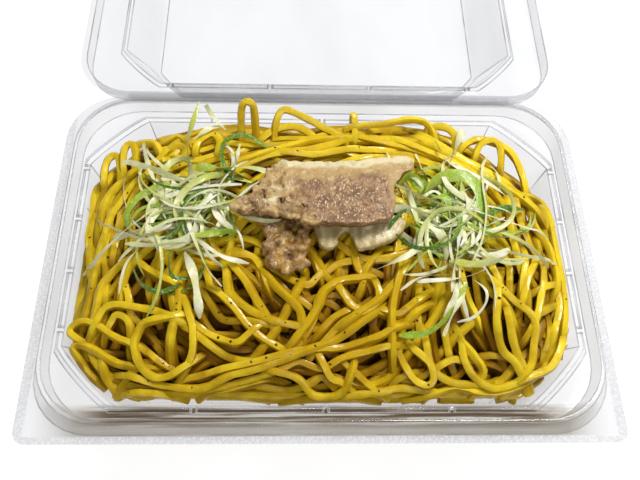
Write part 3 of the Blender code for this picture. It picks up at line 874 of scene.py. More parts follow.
for route in SHOWN:
    laid.append((settle(lengthen(route), crowd=1.2, tuck=9), rng.uniform(0.0, 0.6)))


# The pile's highest place within reach of every cell, which tells how deep a strand lies
CREST_REACH = 3.0
SEEN_DEPTH = 3.4
SUNK_DEPTH = (0.7, 4.2)
WALL_LIGHT = ((53.0, 9.0), (84.0, 8.0))
crest = pile.copy()
for axis in (0, 1):
    steps = range(-int(CREST_REACH / CELL), int(CREST_REACH / CELL) + 1)
    crest = np.max([np.roll(crest, step, axis) for step in steps], axis=0)


def seen_runs(points):
    """The stretches of a strand that aren't buried deep in the finished heap."""
    bare = points[:, 2] + NOODLE > pile[cells_at(points[:, 0], points[:, 1])] - SEEN_DEPTH
    bare = np.convolve(bare, np.ones(7), "same") > 0
    return [points[first:last] for first, last in runs_where(bare) if last - first > 6]


for points, tone in laid:
    skip = 2 if tone is None else 1
    tone = rng.uniform(0, 1) if tone is None else tone
    for run in seen_runs(points):
        picked = run[::skip] if len(run) % 2 or skip == 1 else np.vstack([run[::skip], run[-1]])
        x, y, z = picked.T
        # painted shade: how far a strand lies below the heap's crest darkens it; less near the front and side
        # walls, so that noodles against the clear wall stay light
        depth = np.clip((crest[cells_at(x, y)] - z - NOODLE - SUNK_DEPTH[0]) / SUNK_DEPTH[1], 0, 1)
        (front, front_reach), (side, side_reach) = WALL_LIGHT
        from_wall = np.minimum((y + front) / front_reach, (side - np.abs(x)) / side_reach)
        add_strand(picked, tone, depth * np.clip(from_wall, 0.3, 1))

# Loops that stand out of the back and the sides: foot, crown and foot, each with its height over the flange
ARCHES = (
    ((-28.8, 38, 12), (-28.6, 42.0, 19), (-28.0, 44.6, 23.0), (-26.2, 45.4, 24.4), (-24.4, 44.6, 23.0),
     (-23.8, 42, 19), (-23.6, 38, 12)),
    ((-17.5, 37, 11), (-16.5, 42, 17), (-14.0, 45.5, 19.5), (-9, 45.0, 18), (0, 42, 14.5), (8, 37, 13)),
    ((-22.0, 37, 12.5), (-16, 41, 14.5), (-9, 41.5, 15), (-3, 38, 13.5)),
    ((11.5, 38, 12), (11.5, 43, 14.5), (11.0, 46, 16.0)),
    ((9, 42, 14), (22, 43, 15.5), (31, 44.5, 16), (37, 43.5, 15.5), (40, 39, 13.5)),
    ((38, 42, 14), (43, 42, 15.5), (47, 39, 15), (47, 33, 13)),
    ((49, 34, 12.5), (54, 37, 14.5), (60, 36.5, 14.5), (66, 33.5, 13.5), (70, 28, 11), (71.5, 20, 9)),
    ((53.5, 30, 12), (56, 35, 15), (60.5, 36.5, 15.5), (63, 33.5, 14.5), (63, 27.5, 12)),
    ((-77.0, 24, 6), (-76.6, 29.5, 7.6), (-75, 32.5, 8.4), (-72.5, 32.5, 8.6), (-71, 28, 8), (-70.5, 23, 7)),
    ((-70.0, 27, 8.5), (-70.0, 32.5, 10.8), (-68.8, 35.2, 11.8), (-66.9, 35.4, 12), (-65.6, 32.5, 11.2),
     (-65.5, 27, 9.5)),
    ((-66, 35.5, 10.5), (-60, 36, 12), (-57, 32, 11.5), (-55, 27, 10.5)),
    ((-54, 33, 11.5), (-51, 34.5, 13), (-48, 33, 13), (-49, 29.5, 12.5), (-53, 30, 12)),
    ((-44.5, 32, 13), (-43, 36, 14), (-39, 38.5, 14.5), (-36, 36, 14), (-36.5, 31, 13)),
)
for arch in ARCHES:
    feet = [(x, y - 3.0, z - 6.5) for x, y, z in (arch[0], arch[-1])]
    route = smooth_route([feet[0], *arch, feet[1]], 1.0)
    route[:, 2] = np.minimum(route[:, 2], lid_room(route[:, 0], route[:, 1]) - NOODLE)
    add_strand(route, tone=0.3)


def draw_strips(name, strips, section):
    """Draws the section along every strip's points, closes the ends, and makes one mesh of them all."""
    outline = bpy.data.curves.new(name + "_section", "CURVE")
    ring = outline.splines.new("POLY")
    ring.points.add(len(section) - 1)
    for point, (x, y) in zip(ring.points, section):
        point.co = (x * MM, y * MM, 0, 1)
    ring.use_cyclic_u = True
    profile = bpy.data.objects.new(name + "_section", outline)
    bpy.context.scene.collection.objects.link(profile)
    lines = bpy.data.curves.new(name, "CURVE")
    lines.dimensions = "3D"
    lines.twist_mode = "Z_UP"
    lines.bevel_mode = "OBJECT"
    lines.bevel_object = profile
    for strip in strips:
        spline = lines.splines.new("POLY")
        spline.points.add(len(strip["points"]) - 1)
        rows = zip(spline.points, strip["points"], strip["radii"], strip["tilts"])
        for point, (x, y, z), radius, tilt in rows:
            point.co = (x * MM, y * MM, (FLANGE + z) * MM, 1)
            point.radius = radius
            point.tilt = tilt
    piece = bpy.data.objects.new(name, lines)
    bpy.context.scene.collection.objects.link(piece)
    take(piece)
    bpy.ops.object.convert(target="MESH")
    piece = bpy.context.object
    for mark in strips[0]["marks"]:
        values = np.concatenate([np.repeat(strip["marks"][mark], len(section)) for strip in strips])
        piece.data.attributes.new(mark, "FLOAT", "POINT").data.foreach_set("value", values)
    edit_whole(bpy.ops.mesh.fill_holes, sides=0)
    turn_outwards()
    bpy.ops.object.shade_smooth_by_angle(angle=math.radians(50))
    bpy.data.objects.remove(profile, do_unlink=True)
    return piece


SECTION_SIDES = 8
SECTION_CORNER = 0.10
DARK_MIDDLE = (0.0, -0.020, 0.044)


def squarish(sides, corner):
    """A round section pushed out towards the corners of a square."""
    section = []
    for side in range(sides):
        angle = math.tau * side / sides
        reach = 1 + corner * abs(math.sin(2 * angle)) ** 2
        section.append((reach * math.cos(angle), reach * math.sin(angle)))
    return section


def noodle_finish():
    """Yellow noodle, browner in blotches where sauce has soaked in, and darker round the middle of the heap.
    Painted light and shade by place: darker towards the front and the back, paler towards the right. Marks:
    tone from one noodle to the next, and depth where it lies sunk in the heap, which darkens it as painted
    shade. Its sides and underside are painted darker than its top as painted shade, and pale flecks are
    painted glints."""
    finish = Finish(
        "noodle", roughness=0.34, specular_ior_level=0.12, coat_roughness=0.10, coat_ior=1.40,
        subsurface_weight=0.12, subsurface_radius=(0.004, 0.002, 0.0004), subsurface_scale=0.5,
    )
    tone, depth = finish.mark("tone"), finish.mark("depth")
    x, y = finish.parts(finish.place())[:2]
    upright = finish.parts(finish.node("TexCoord", out=1))[2]
    blotch, fine = finish.grain(5 * MM, 3.0), finish.grain(0.9 * MM, 3.0)
    pale = finish.mix(tone, (0.90, 0.680, 0.028, 1), (0.76, 0.530, 0.012, 1))
    # darker round the middle of the heap
    from_middle = finish.node("VectorMath", {"operation": "DISTANCE"}, {0: finish.place(), 1: DARK_MIDDLE}, out=1)
    browning = finish.span(blotch, 0.35, 0.75, 0.0, 0.75) + finish.span(from_middle, 36 * MM, 14 * MM, 0.0, 0.85)
    # painted light and shade by place: darker towards the front and the back, paler towards the right, as the
    # lamps fall on the heap
    front = finish.span(y, 10 * MM, -40 * MM, 0.0, 0.30) + finish.span(y, 18 * MM, 42 * MM, 0.0, 0.15)
    painted_light_right = finish.span(x, 10 * MM, 75 * MM, 0.0, 0.35)
    toned = finish.mix(browning + front - painted_light_right, pale, (0.57, 0.360, 0.007, 1))
    # painted highlights: small pale-yellow flecks standing for glints on the oily noodles
    with_painted_glints = finish.mix(finish.span(fine, 0.58, 0.80, 0.0, 0.35), toned, (0.90, 0.72, 0.10, 1))
    # painted shade: the sides and underside of each strand, found by their normal, turn darker brown than its
    # top
    under = finish.mix(finish.span(upright, 0.80, 0.05, 0.0, 0.60), with_painted_glints, (0.44, 0.245, 0.004, 1))
    # painted shade: strands that lie sunk below the heap's top turn dark brown, as in the shade between them
    sunk = finish.mix(finish.span(depth, 0.05, 1.0, 0.0, 0.88), under, (0.22, 0.090, 0.002, 1))
    drops = finish.span(finish.grain(2.2 * MM, 2.0), 0.42, 0.62, 0.04, 0.85)
    wet = drops * finish.span(depth, 0.1, 0.7, 1.0, 0.1)
    height = finish.grain(1.1 * MM, 2.0) * 0.6 + finish.grain(0.35 * MM, 2.0) * 0.4
    finish.set(
        base_color=sunk, coat_weight=wet, roughness=finish.span(fine, 0.3, 0.7, 0.25, 0.48),
        normal=finish.bump(height, 0.14 * MM),
    )
    return finish


def fit_food(piece, finish, node):
    """Gives a piece of the food its finish, and fits it to the frame in its node's place."""
    piece.data.materials.clear()
    piece.data.materials.append(finish.material)
    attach(piece, "base")
    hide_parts(node)


noodles = draw_strips("noodle_strands", strands, squarish(SECTION_SIDES, SECTION_CORNER))
fit_food(noodles, noodle_finish(), "noodles")

# Core of the heap: a body coloured dark brown as painted shade, standing for the shaded noodles deep inside
# that show between the strands
CORE_X = 76.5
CORE_Y = 46.5
CORE_CORNER = 15.5
CORE_SUNK = 8.5
CORE_INSIDE = 11.0
CORE_FOOT = (0.925, 0.88, 3.2)
let_go()
bpy.ops.mesh.primitive_grid_add(x_subdivisions=64, y_subdivisions=44, size=2 * MM)
core = bpy.context.object
core.name = "noodle_core"
for vertex in core.data.vertices:
    x, y = vertex.co.x / MM * CORE_X, vertex.co.y / MM * CORE_Y
    past_cut = abs(x) + abs(y) - (CORE_X + CORE_Y - CORE_CORNER)
    over = max(past_cut, CORE_INSIDE - float(corner_room(x, y)), 0) / 2
    x -= math.copysign(over, x)
    y -= math.copysign(over, y)
    vertex.co = (x * MM, y * MM, (FLANGE + float(heap_height(x, y)) - CORE_SUNK) * MM)
edit_whole(bpy.ops.mesh.extrude_region_move, TRANSFORM_OT_translate={"value": (0, 0, -MM)})
for vertex in core.data.vertices:
    if vertex.select:
        vertex.co = (vertex.co.x * CORE_FOOT[0], vertex.co.y * CORE_FOOT[1], CORE_FOOT[2] * MM)
turn_outwards()
# painted shade: the core's dark browns
dark = Finish("noodle_depth", roughness=0.6, specular_ior_level=0.1)
dark.set(base_color=dark.mix(dark.grain(3 * MM), (0.11, 0.045, 0.003, 1), (0.26, 0.12, 0.010, 1)))
fit_food(core, dark, "noodles")


# Pepper: coarsely ground black pepper, in specks up to about 1 mm across. It was strewn over the noodles
# when they were tossed, and sticks to their oil.

PEPPER_COUNT = 110
PEPPER_SIZE = (0.26, 0.60)

let_go()
bpy.ops.mesh.primitive_ico_sphere_add(subdivisions=2, radius=MM)
grain = bpy.context.object
for vertex in grain.data.vertices:
    vertex.co *= 1 + 0.35 * noise.noise(vertex.co / MM * 1.3)
shown = [(strand, at) for strand in strands for at in range(1, len(strand["points"]) - 1)]
specks = []
while len(specks) < PEPPER_COUNT:
    strand, at = shown[rng.integers(0, len(shown))]
    x, y, z = strand["points"][at]
    top = z + strand["radii"][at]
    if top < pile[cells_at(x, y)] - 0.25:
        continue
    side, size = rng.uniform(-0.5, 0.5), rng.uniform(*PEPPER_SIZE)
    speck = grain.copy()
    speck.data = grain.data.copy()
    bpy.context.scene.collection.objects.link(speck)
    speck.location = ((x + side) * MM, y * MM, (FLANGE + top - 0.1 - 0.3 * abs(side)) * MM)
    speck.rotation_euler = rng.uniform(0, 6, 3)
    speck.scale = (size, size * rng.uniform(0.6, 1.0), size * rng.uniform(0.5, 0.8))
    specks.append(speck)
bpy.data.objects.remove(grain, do_unlink=True)
pepper = join("pepper", specks)
bpy.ops.object.transform_apply(location=True, rotation=True, scale=True)
black = Finish("pepper_black", roughness=0.55)
black.set(base_color=black.mix(black.grain(0.3 * MM), (0.010, 0.007, 0.004, 1), (0.06, 0.035, 0.015, 1)))
pepper.data.materials.append(black.material)
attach(pepper, "base")


# Pork: boiled belly pork, cut about 4 mm thick and partly torn. One slice lies across the middle, a
# torn brown piece sticks out under its front left edge, and soft white fat under its front right one.

MEAT_VOXEL = 0.42
SLICE_THICK = 3.4
SLICE_PLAN = (
    (-14.1, 25.2), (-18.6, 19.9), (-22.9, 11.5), (-29.6, 5.8), (-27.0, 2.6), (-19.9, 2.0), (-12.0, 2.6),
    (-7.0, -1.4), (1.5, -1.8), (8.7, -2.2), (14.1, -1.8), (20.6, 0.8), (22.8, 6.8), (22.4, 12.7),
    (27.7, 19.2), (31.2, 24.1), (30.5, 26.4), (23.6, 26.0), (8.8, 23.8), (-4.6, 23.9),
)
SLICE_BACK = ((-31, 25.0), (-14, 25.2), (-4.6, 23.8), (8.8, 23.8), (23.6, 26.2), (32, 26.6))
SLICE_LUMPS = (
    (-27.0, 5.0, 1.4, 3.2, 2.4, 1.6), (-23.5, 6.0, 2.4, 3.4, 2.2, 1.5), (-19.5, 6.2, 3.2, 3.6, 1.7, 1.4),
    (-15.0, 7.5, 2.8, 3.5, 1.6, 1.3), (-14.5, 3.6, 1.8, 3.0, 2.2, 1.8), (-10.5, 2.2, 2.0, 2.6, 2.6, 1.9),
    (-7.5, 5.5, 2.8, 3.0, 1.8, 1.3), (-3.5, 0.8, 2.2, 3.4, 1.8, 1.5), (22.0, 17.0, 2.0, 2.6, 4.0, 1.3),
    (27.0, 22.0, 2.2, 4.0, 2.4, 1.2),
)
TORN_CRUMBS = 30
TORN_LUMPS = (
    (-17.5, 0.0, 2.2, 3.2, 4.2, 2.2), (-17.8, -7.0, 2.0, 2.8, 3.4, 1.9), (-14.5, -11.5, 2.0, 3.0, 2.8, 1.9),
    (-11.5, -14.0, 1.8, 2.4, 2.0, 1.7), (-9.0, -10.5, 2.4, 2.6, 3.6, 1.9), (-7.2, -5.0, 2.6, 2.8, 3.8, 2.0),
    (-12.0, -4.0, 1.8, 3.0, 3.6, 1.7), (-15.0, -5.5, 2.4, 1.8, 2.2, 1.6), (-11.0, 2.0, 1.8, 4.0, 3.0, 1.8),
    (-16.0, -10.0, 2.8, 1.5, 1.8, 1.2), (-8.0, -13.0, 1.7, 1.8, 1.6, 1.4), (-12.4, -8.8, 1.4, 2.6, 3.0, 1.3),
)
FAT_THICK = 3.2
FAT_PLANS = (
    ((8.2, -2.0), (10.6, -7.4), (17.8, -6.0), (24.4, -2.6), (27.2, 1.0), (23.4, 4.5), (11.5, 3.5)),
    ((-3.2, 0.0), (-2.1, -4.9), (0.4, -7.2), (4.0, -6.4), (5.5, -2.0), (12.0, 1.0), (4.0, 3.4)),
)


def plan_slab(name, plan, thick):
    """A flat slab over a plan: a filled ring of vertices moved to the plan's corners, then extruded up."""
    let_go()
    bpy.ops.mesh.primitive_circle_add(vertices=len(plan), radius=MM, fill_type="NGON")
    slab = bpy.context.object
    slab.name = name
    for vertex, (x, y) in zip(slab.data.vertices, plan):
        vertex.co = (x * MM, y * MM, 0)
    edit_whole(bpy.ops.mesh.extrude_region_move, TRANSFORM_OT_translate={"value": (0, 0, thick * MM)})
    turn_outwards()
    return slab


def lump(x, y, z, rx, ry, rz):
    """A rounded lump at a place in mm, with its three half-sizes."""
    let_go()
    bpy.ops.mesh.primitive_ico_sphere_add(subdivisions=3, radius=MM, location=(x * MM, y * MM, z * MM))
    return scaled(rx, ry, rz)


def grow_together(name, pieces, smoothing):
    """Joins overlapping pieces into one soft closed body."""
    body = join(name, pieces)
    remesh = body.modifiers.new("skin", "REMESH")
    remesh.mode = "VOXEL"
    remesh.voxel_size = MEAT_VOXEL * MM
    bpy.ops.object.modifier_apply(modifier="skin")
    smooth = body.modifiers.new("soft", "SMOOTH")
    smooth.factor = 0.5
    smooth.iterations = smoothing
    bpy.ops.object.modifier_apply(modifier="soft")
    return body


def rough_up(body, amount, size, seed, ridge=0.0):
    """Relief along the normals: soft lumps, and where ridge is set sharp torn creases. Returns its height."""
    shift = Vector((seed * 3.1, seed * 1.7, seed * 2.3))
    heights = []
    for vertex in body.data.vertices:
        at = vertex.co / (size * MM) + shift
        height = noise.noise(at) + 0.5 * noise.noise(at * 2.1) + 0.3 * noise.noise(at * 4.3)
        if ridge:
            height += ridge * (0.4 - 2.2 * abs(noise.noise(at * 0.9 + Vector((5, 5, 5))))) * 2
        vertex.co += vertex.normal * height * amount * MM
        heights.append(height)
    return np.array(heights)


def soft_step(value, low, high):
    """From 0 below low to 1 above high, with soft ends."""
    share = np.clip((np.asarray(value) - low) / (high - low), 0, 1)
    return share * share * (3 - 2 * share)


def write_marks(piece, **marks):
    """Writes numbers from 0 to 1 on the piece's vertices, for its material to read."""
    count = len(piece.data.vertices)
    for name, values in marks.items():
        shares = np.clip(np.broadcast_to(values, count), 0, 1).astype(np.float32)
        piece.data.attributes.new(name, "FLOAT", "POINT").data.foreach_set("value", shares)


def places(piece):
    """Every vertex's place in mm."""
    flat = np.empty(len(piece.data.vertices) * 3)
    piece.data.vertices.foreach_get("co", flat)
    return flat.reshape(-1, 3) / MM


def lay_meat(piece, under):
    """Moves a flat-laid piece up so that its underside follows what it lies on."""
    for vertex in piece.data.vertices:
        x, y = vertex.co.x / MM, vertex.co.y / MM
        vertex.co.z += (FLANGE + under(x, y)) * MM
    bpy.ops.object.shade_smooth()


def pork_finish(name, wetness, low=(0.45, 0.285, 0.105, 1), high=(0.56, 0.385, 0.165, 1)):
    """Marks: lean from fat to lean, white from beige to white fat, sunk for painted shade in creases, hollows
    and underneath, and raw where pink.
    """
    meat = Finish(
        name, coat_roughness=0.14, coat_ior=1.4, subsurface_weight=0.12, subsurface_scale=0.4,
        subsurface_radius=(0.004, 0.0015, 0.001), specular_ior_level=0.3,
    )
    lean, white, sunk, raw = (meat.mark(name) for name in ("lean", "white", "sunk", "raw"))
    wide, fine, grit = meat.grain(4 * MM, 3.0), meat.grain(0.8 * MM, 3.0), meat.grain(0.42 * MM, 2.0)
    fibre = meat.grain(0.62 * MM, 2.0, stretch=(1.0, 0.55, 1.0), roughness=0.6)
    beige = meat.mix(meat.span(wide, 0.35, 0.7), low, high)
    fat = meat.mix(white, beige, (0.74, 0.64, 0.38, 1))
    speckled = meat.mix(meat.span(fine, 0.58, 0.70, 0.0, 0.55), fat, (0.84, 0.70, 0.44, 1))
    brown = meat.mix(meat.span(wide, 0.38, 0.62), (0.22, 0.115, 0.055, 1), (0.40, 0.24, 0.12, 1))
    # pale specks on the lean's fibre, partly painted highlights
    dots = meat.span(fibre, 0.55, 0.66) * meat.span(meat.grain(7 * MM, 1.0), 0.36, 0.58, 0.25, 1.0)
    flesh = meat.mix(dots, brown, (0.82, 0.63, 0.38, 1))
    # painted shade in the fibre's pits
    painted_pit_shade = meat.mix(meat.span(fibre, 0.44, 0.32, 0.0, 0.7), flesh, (0.12, 0.05, 0.035, 1))
    cut = meat.mix(lean, speckled, painted_pit_shade)
    # painted shade: creases, hollows and undersides turn dark brown by the sunk mark
    painted_crease_shade = meat.mix(meat.span(sunk, 0.0, 1.0, 0.0, 0.85), cut, (0.14, 0.055, 0.014, 1))
    meat.set(
        base_color=meat.mix(raw, painted_crease_shade, (0.42, 0.17, 0.12, 1)),
        coat_weight=meat.span(grit, 0.45, 0.62, 0.05, wetness),
        roughness=meat.span(fine, 0.3, 0.7, 0.28, 0.50),
        normal=meat.bump(fibre * lean * 0.8 + fine * 0.5 + grit * 0.3, 0.42 * MM),
    )
    return meat


def wavy(plan, sway, seed):
    """A plan whose edge wanders by about sway mm."""
    moved = []
    for x, y in smooth_route([*plan, plan[0]], 1.6)[:-1]:
        off_x, off_y = (noise.noise(Vector(at) / 2.6) for at in ((x, y, seed), (y, x, seed)))
        moved.append((x + sway * off_x, y + sway * off_y))
    return moved


def noise_at(points, size, seed=0.0):
    """Soft noise from about -1 to 1 at every place, with features of that size in mm."""
    shift = Vector((seed, seed, seed))
    return np.array([noise.noise(Vector(point) / size + shift) for point in points])


def streak(away_x, away_y):
    """1 along a streak, fading to 0 over one unit away from it either way."""
    return np.exp(-(away_x**2 + away_y**2))


# The slice, with its torn left end, its fat edge behind and its lean middle
slice_lying = plan_slab("pork_slice_laid", wavy(SLICE_PLAN, 1.3, 3.0), SLICE_THICK)
slice_lumps = [lump(*at) for at in SLICE_LUMPS]
slice_body = grow_together("pork_slice_laid", [slice_lying, *slice_lumps], 6)
relief = rough_up(slice_body, 0.24, 3.0, 3, ridge=0.22)
at = places(slice_body)
x, y, z = at.T
back_gap = np.interp(x, *zip(*SLICE_BACK)) - y + 1.6 * noise_at(at, 4.0) + 0.7 * noise_at(at, 1.5)
left_gap = x + 0.45 * (y - 8) + 2.2 * noise_at(at, 3.5, 4.0)
right_gap = 22.6 - x - 0.08 * (y - 8) + 1.2 * noise_at(at, 2.6, 9.0)
torn_end = soft_step(-left_gap, 4.0, 9.0)
torn_relief = noise_at(at, 2.3, 12.0) + 0.4 * noise_at(at, 1.1, 2.0)
patches = soft_step(noise_at(at, 2.6), 0.0, 0.28) * soft_step(back_gap, 12, 16) * 0.75
middle = soft_step(back_gap, 6.6 - 0.06 * x, 9.6 - 0.06 * x) * soft_step(right_gap, 0.0, 2.0)
fat_streaks = streak((x + 17) / 4.5, (y - 6.4) / 1.3) + 0.8 * streak((x + 15) / 5.0, (y - 12.0) / 0.9)
crack = streak((x - 13.4 - (4.0 - y) * 0.9) / 0.45, 0) * soft_step(2.6 - np.abs(y - 3.8), 0.0, 1.4)
gash = streak((x + 6.8) / 1.8, (y - 9.0 + 0.4 * x + 2.7) / 0.55)
# painted shade: low places of the relief, hollows of the torn end, one dark hollow beside it and the
# underside all darken the slice through its sunk mark
creases = soft_step(-relief, 0.35, 0.9) * (0.25 + 0.75 * torn_end)
hollow_shade = torn_end * soft_step(-torn_relief, 0.10, 0.50) * 0.55 + 0.9 * streak((x + 21.0) / 2.4, y - 9.2)
write_marks(
    slice_body,
    lean=middle * (1 - torn_end) + torn_end * patches,
    white=soft_step(3.4 - back_gap, -0.8, 1.2) + fat_streaks,
    sunk=creases + hollow_shade + 0.9 * soft_step(2.2 - z, 0.0, 1.6),
    raw=0.8 * crack + 0.6 * gash,
)
lifts, cuts = 1.6 * torn_end * torn_relief, 0.9 * crack + 0.7 * gash
for vertex, lift, cut in zip(slice_body.data.vertices, lifts, cuts):
    vertex.co += vertex.normal * float(lift) * MM
    vertex.co.z -= float(cut) * MM
lay_meat(slice_body, lambda x, y: 16.9 + (27 - y) * 0.16 + 0.35 * math.sin(x / 6.5))
fit_food(slice_body, pork_finish("pork", 0.55), "pork_slice")

# The torn piece: crumbs of meat that hang together
torn_lumps = [lump(*at) for at in TORN_LUMPS]
for number in range(TORN_CRUMBS):
    x, y, z, rx, ry, rz = TORN_LUMPS[number % len(TORN_LUMPS)]
    turn, size = rng.uniform(0, math.tau), rng.uniform(0.8, 2.2)
    out = rng.uniform(0.55, 1.0)
    torn_lumps.append(
        lump(x + rx * out * math.cos(turn), y + ry * out * math.sin(turn), z + rz * (1.15 - 0.7 * out),
             size * rng.uniform(0.8, 1.5), size, size * 0.8)
    )
torn_body = grow_together("pork_torn_laid", torn_lumps, 6)
relief = rough_up(torn_body, 0.50, 3.2, 8, ridge=0.45)
at = places(torn_body)
write_marks(
    torn_body,
    lean=soft_step(noise_at(at, 2.2) + 0.25 * (at[:, 0] < -14), 0.05, 0.3) * 0.6,
    white=soft_step(noise_at(at, 1.8, 6.0), 0.15, 0.4) * 0.35,
    # painted shade in the creases and towards the underside
    sunk=soft_step(-relief, 0.1, 1.2) + 0.9 * soft_step(1.8 - at[:, 2], 0.0, 2.0),
    raw=0,
)
lay_meat(torn_body, lambda x, y: float(heap_height(x, y)) + 0.5)
torn_finish = pork_finish("pork_torn", 0.7, (0.26, 0.120, 0.014, 1), (0.47, 0.27, 0.060, 1))
fit_food(torn_body, torn_finish, "pork_torn")

# The soft fat, in two lobes
slabs = [plan_slab("fat", wavy(plan, 1.2, 8.0), FAT_THICK) for plan in FAT_PLANS]
fat_body = grow_together("pork_fat_laid", slabs, 10)
rough_up(fat_body, 0.24, 3.4, 5)
at = places(fat_body)
streaks = noise_at(at * (1.0, 0.35, 1.0), 1.8)
write_marks(
    fat_body,
    lean=0,
    white=0.26 + 1.4 * streaks,
    # painted shade between the streaks and towards the underside
    sunk=0.25 * soft_step(-streaks, 0.1, 0.5) + 0.55 * soft_step(1.6 - at[:, 2], 0.0, 1.6),
    raw=0,
)
lay_meat(fat_body, lambda x, y: float(heap_height(x, y)) + 0.6)
fat_finish = pork_finish("pork_fat", 0.75, (0.46, 0.34, 0.13, 1), (0.58, 0.46, 0.21, 1))
fit_food(fat_body, fat_finish, "pork_fat")


# Shredded onion: long green onion cut lengthwise into limp shreds, white from the root end and green
# from the leaves. Two tufts lie on the noodles, with the longest shreds sticking out of them.

SHRED_SECTION = (
    (-1.0, 0.00), (-0.55, -0.09), (0.0, -0.13), (0.55, -0.09), (1.0, 0.00), (0.55, 0.10), (0.0, 0.07),
    (-0.55, 0.10),
)
KINDS = {"pale": (0.02, 0.16), "mid": (0.22, 0.48), "green": (0.50, 0.74), "dark": (0.82, 1.0)}
TUFTS = {"onion_left": (-44.0, 5.0, 17.0, 13.5), "onion_right": (43.0, 3.0, 11.5, 17.0)}
LOOSE_SHREDS = 76
LOOSE_KINDS = (["pale", "mid", "green", "dark"], [0.49, 0.25, 0.15, 0.11])
LOOSE_STEP = 2.2
TUFT_RISE = 2.5
SHRED_SPRING = 24.0
SHRED_GAP = 0.15


def shred(route, width, kind, arch):
    """One shred laid on the pile along its plan route, its middle lifted by arch. A route that has heights
    stands up in the air as it is, and tapers to its tip."""
    points = smooth_route(route, 1.0)
    standing = points.shape[1] == 3
    count = len(points)
    share = np.linspace(0, 1, count)
    if not standing:
        radius = max(width / 2, 0.8)
        points = settle(points, radius, half_height=0.3, spring=SHRED_SPRING, softness=-SHRED_GAP)
        x, y, z = points.T
        easy = heap_height(x, y) + TUFT_RISE
        points[:, 2] = np.where(z > easy, easy + (z - easy) * 0.3, z) + arch * np.sin(math.pi * share) ** 0.8
    from_end = np.minimum(np.arange(count), np.arange(count)[::-1])
    taper = np.clip(0.42 + from_end / rng.uniform(2.0, 7.0), 0.42, 1)
    if standing:
        taper = np.clip(0.15 + 2.0 * (1 - share), 0, 1)
    start, end = KINDS[kind]
    fade = share if rng.uniform() < 0.5 else 1 - share
    return {
        "points": points,
        "radii": width / 2 * taper * (0.92 + 0.12 * np.sin(share * rng.uniform(4, 12) + rng.uniform(0, 6))),
        "tilts": rng.uniform(-0.7, 0.7) + 0.8 * np.sin(share * rng.uniform(2, 6) + rng.uniform(0, 6)),
        "marks": {"green": start + (end - start) * fade, "shade": np.full(count, rng.uniform(0, 1))},
    }


def loose_shreds(cx, cy, rx, ry):
    """The tangle inside a tuft: limp shreds that curl round its middle and spring up a little."""
    made = []
    for number in range(LOOSE_SHREDS):
        turn, reach = rng.uniform(0, math.tau), math.sqrt(rng.uniform(0.02, 0.8))
        x, y = cx + rx * reach * math.cos(turn), cy + ry * reach * math.sin(turn)
        home = math.atan2(cy - y, cx - x)
        aim = home + rng.normal(0, 1.1)
        sense = math.sin(home - aim)
        bend = math.copysign(rng.uniform(0.02, 0.30), sense if rng.uniform() < 0.6 else rng.normal())
        route = [(x, y)]
        for step in range(int(rng.uniform(16, 42) / LOOSE_STEP)):
            x, y = x + LOOSE_STEP * math.cos(aim), y + LOOSE_STEP * math.sin(aim)
            aim += bend + rng.normal(0, 0.05)
            if not inside_tray(x, y):
                break
            route.append((x, y))
        if len(route) < 4:
            continue
        kind = rng.choice(LOOSE_KINDS[0], p=LOOSE_KINDS[1])
        width = rng.uniform(0.6, 1.6) if rng.uniform() < 0.82 else rng.uniform(1.8, 3.2)
        made.append(shred(route, width, kind, arch=rng.uniform(0, 2.2)))
    return made


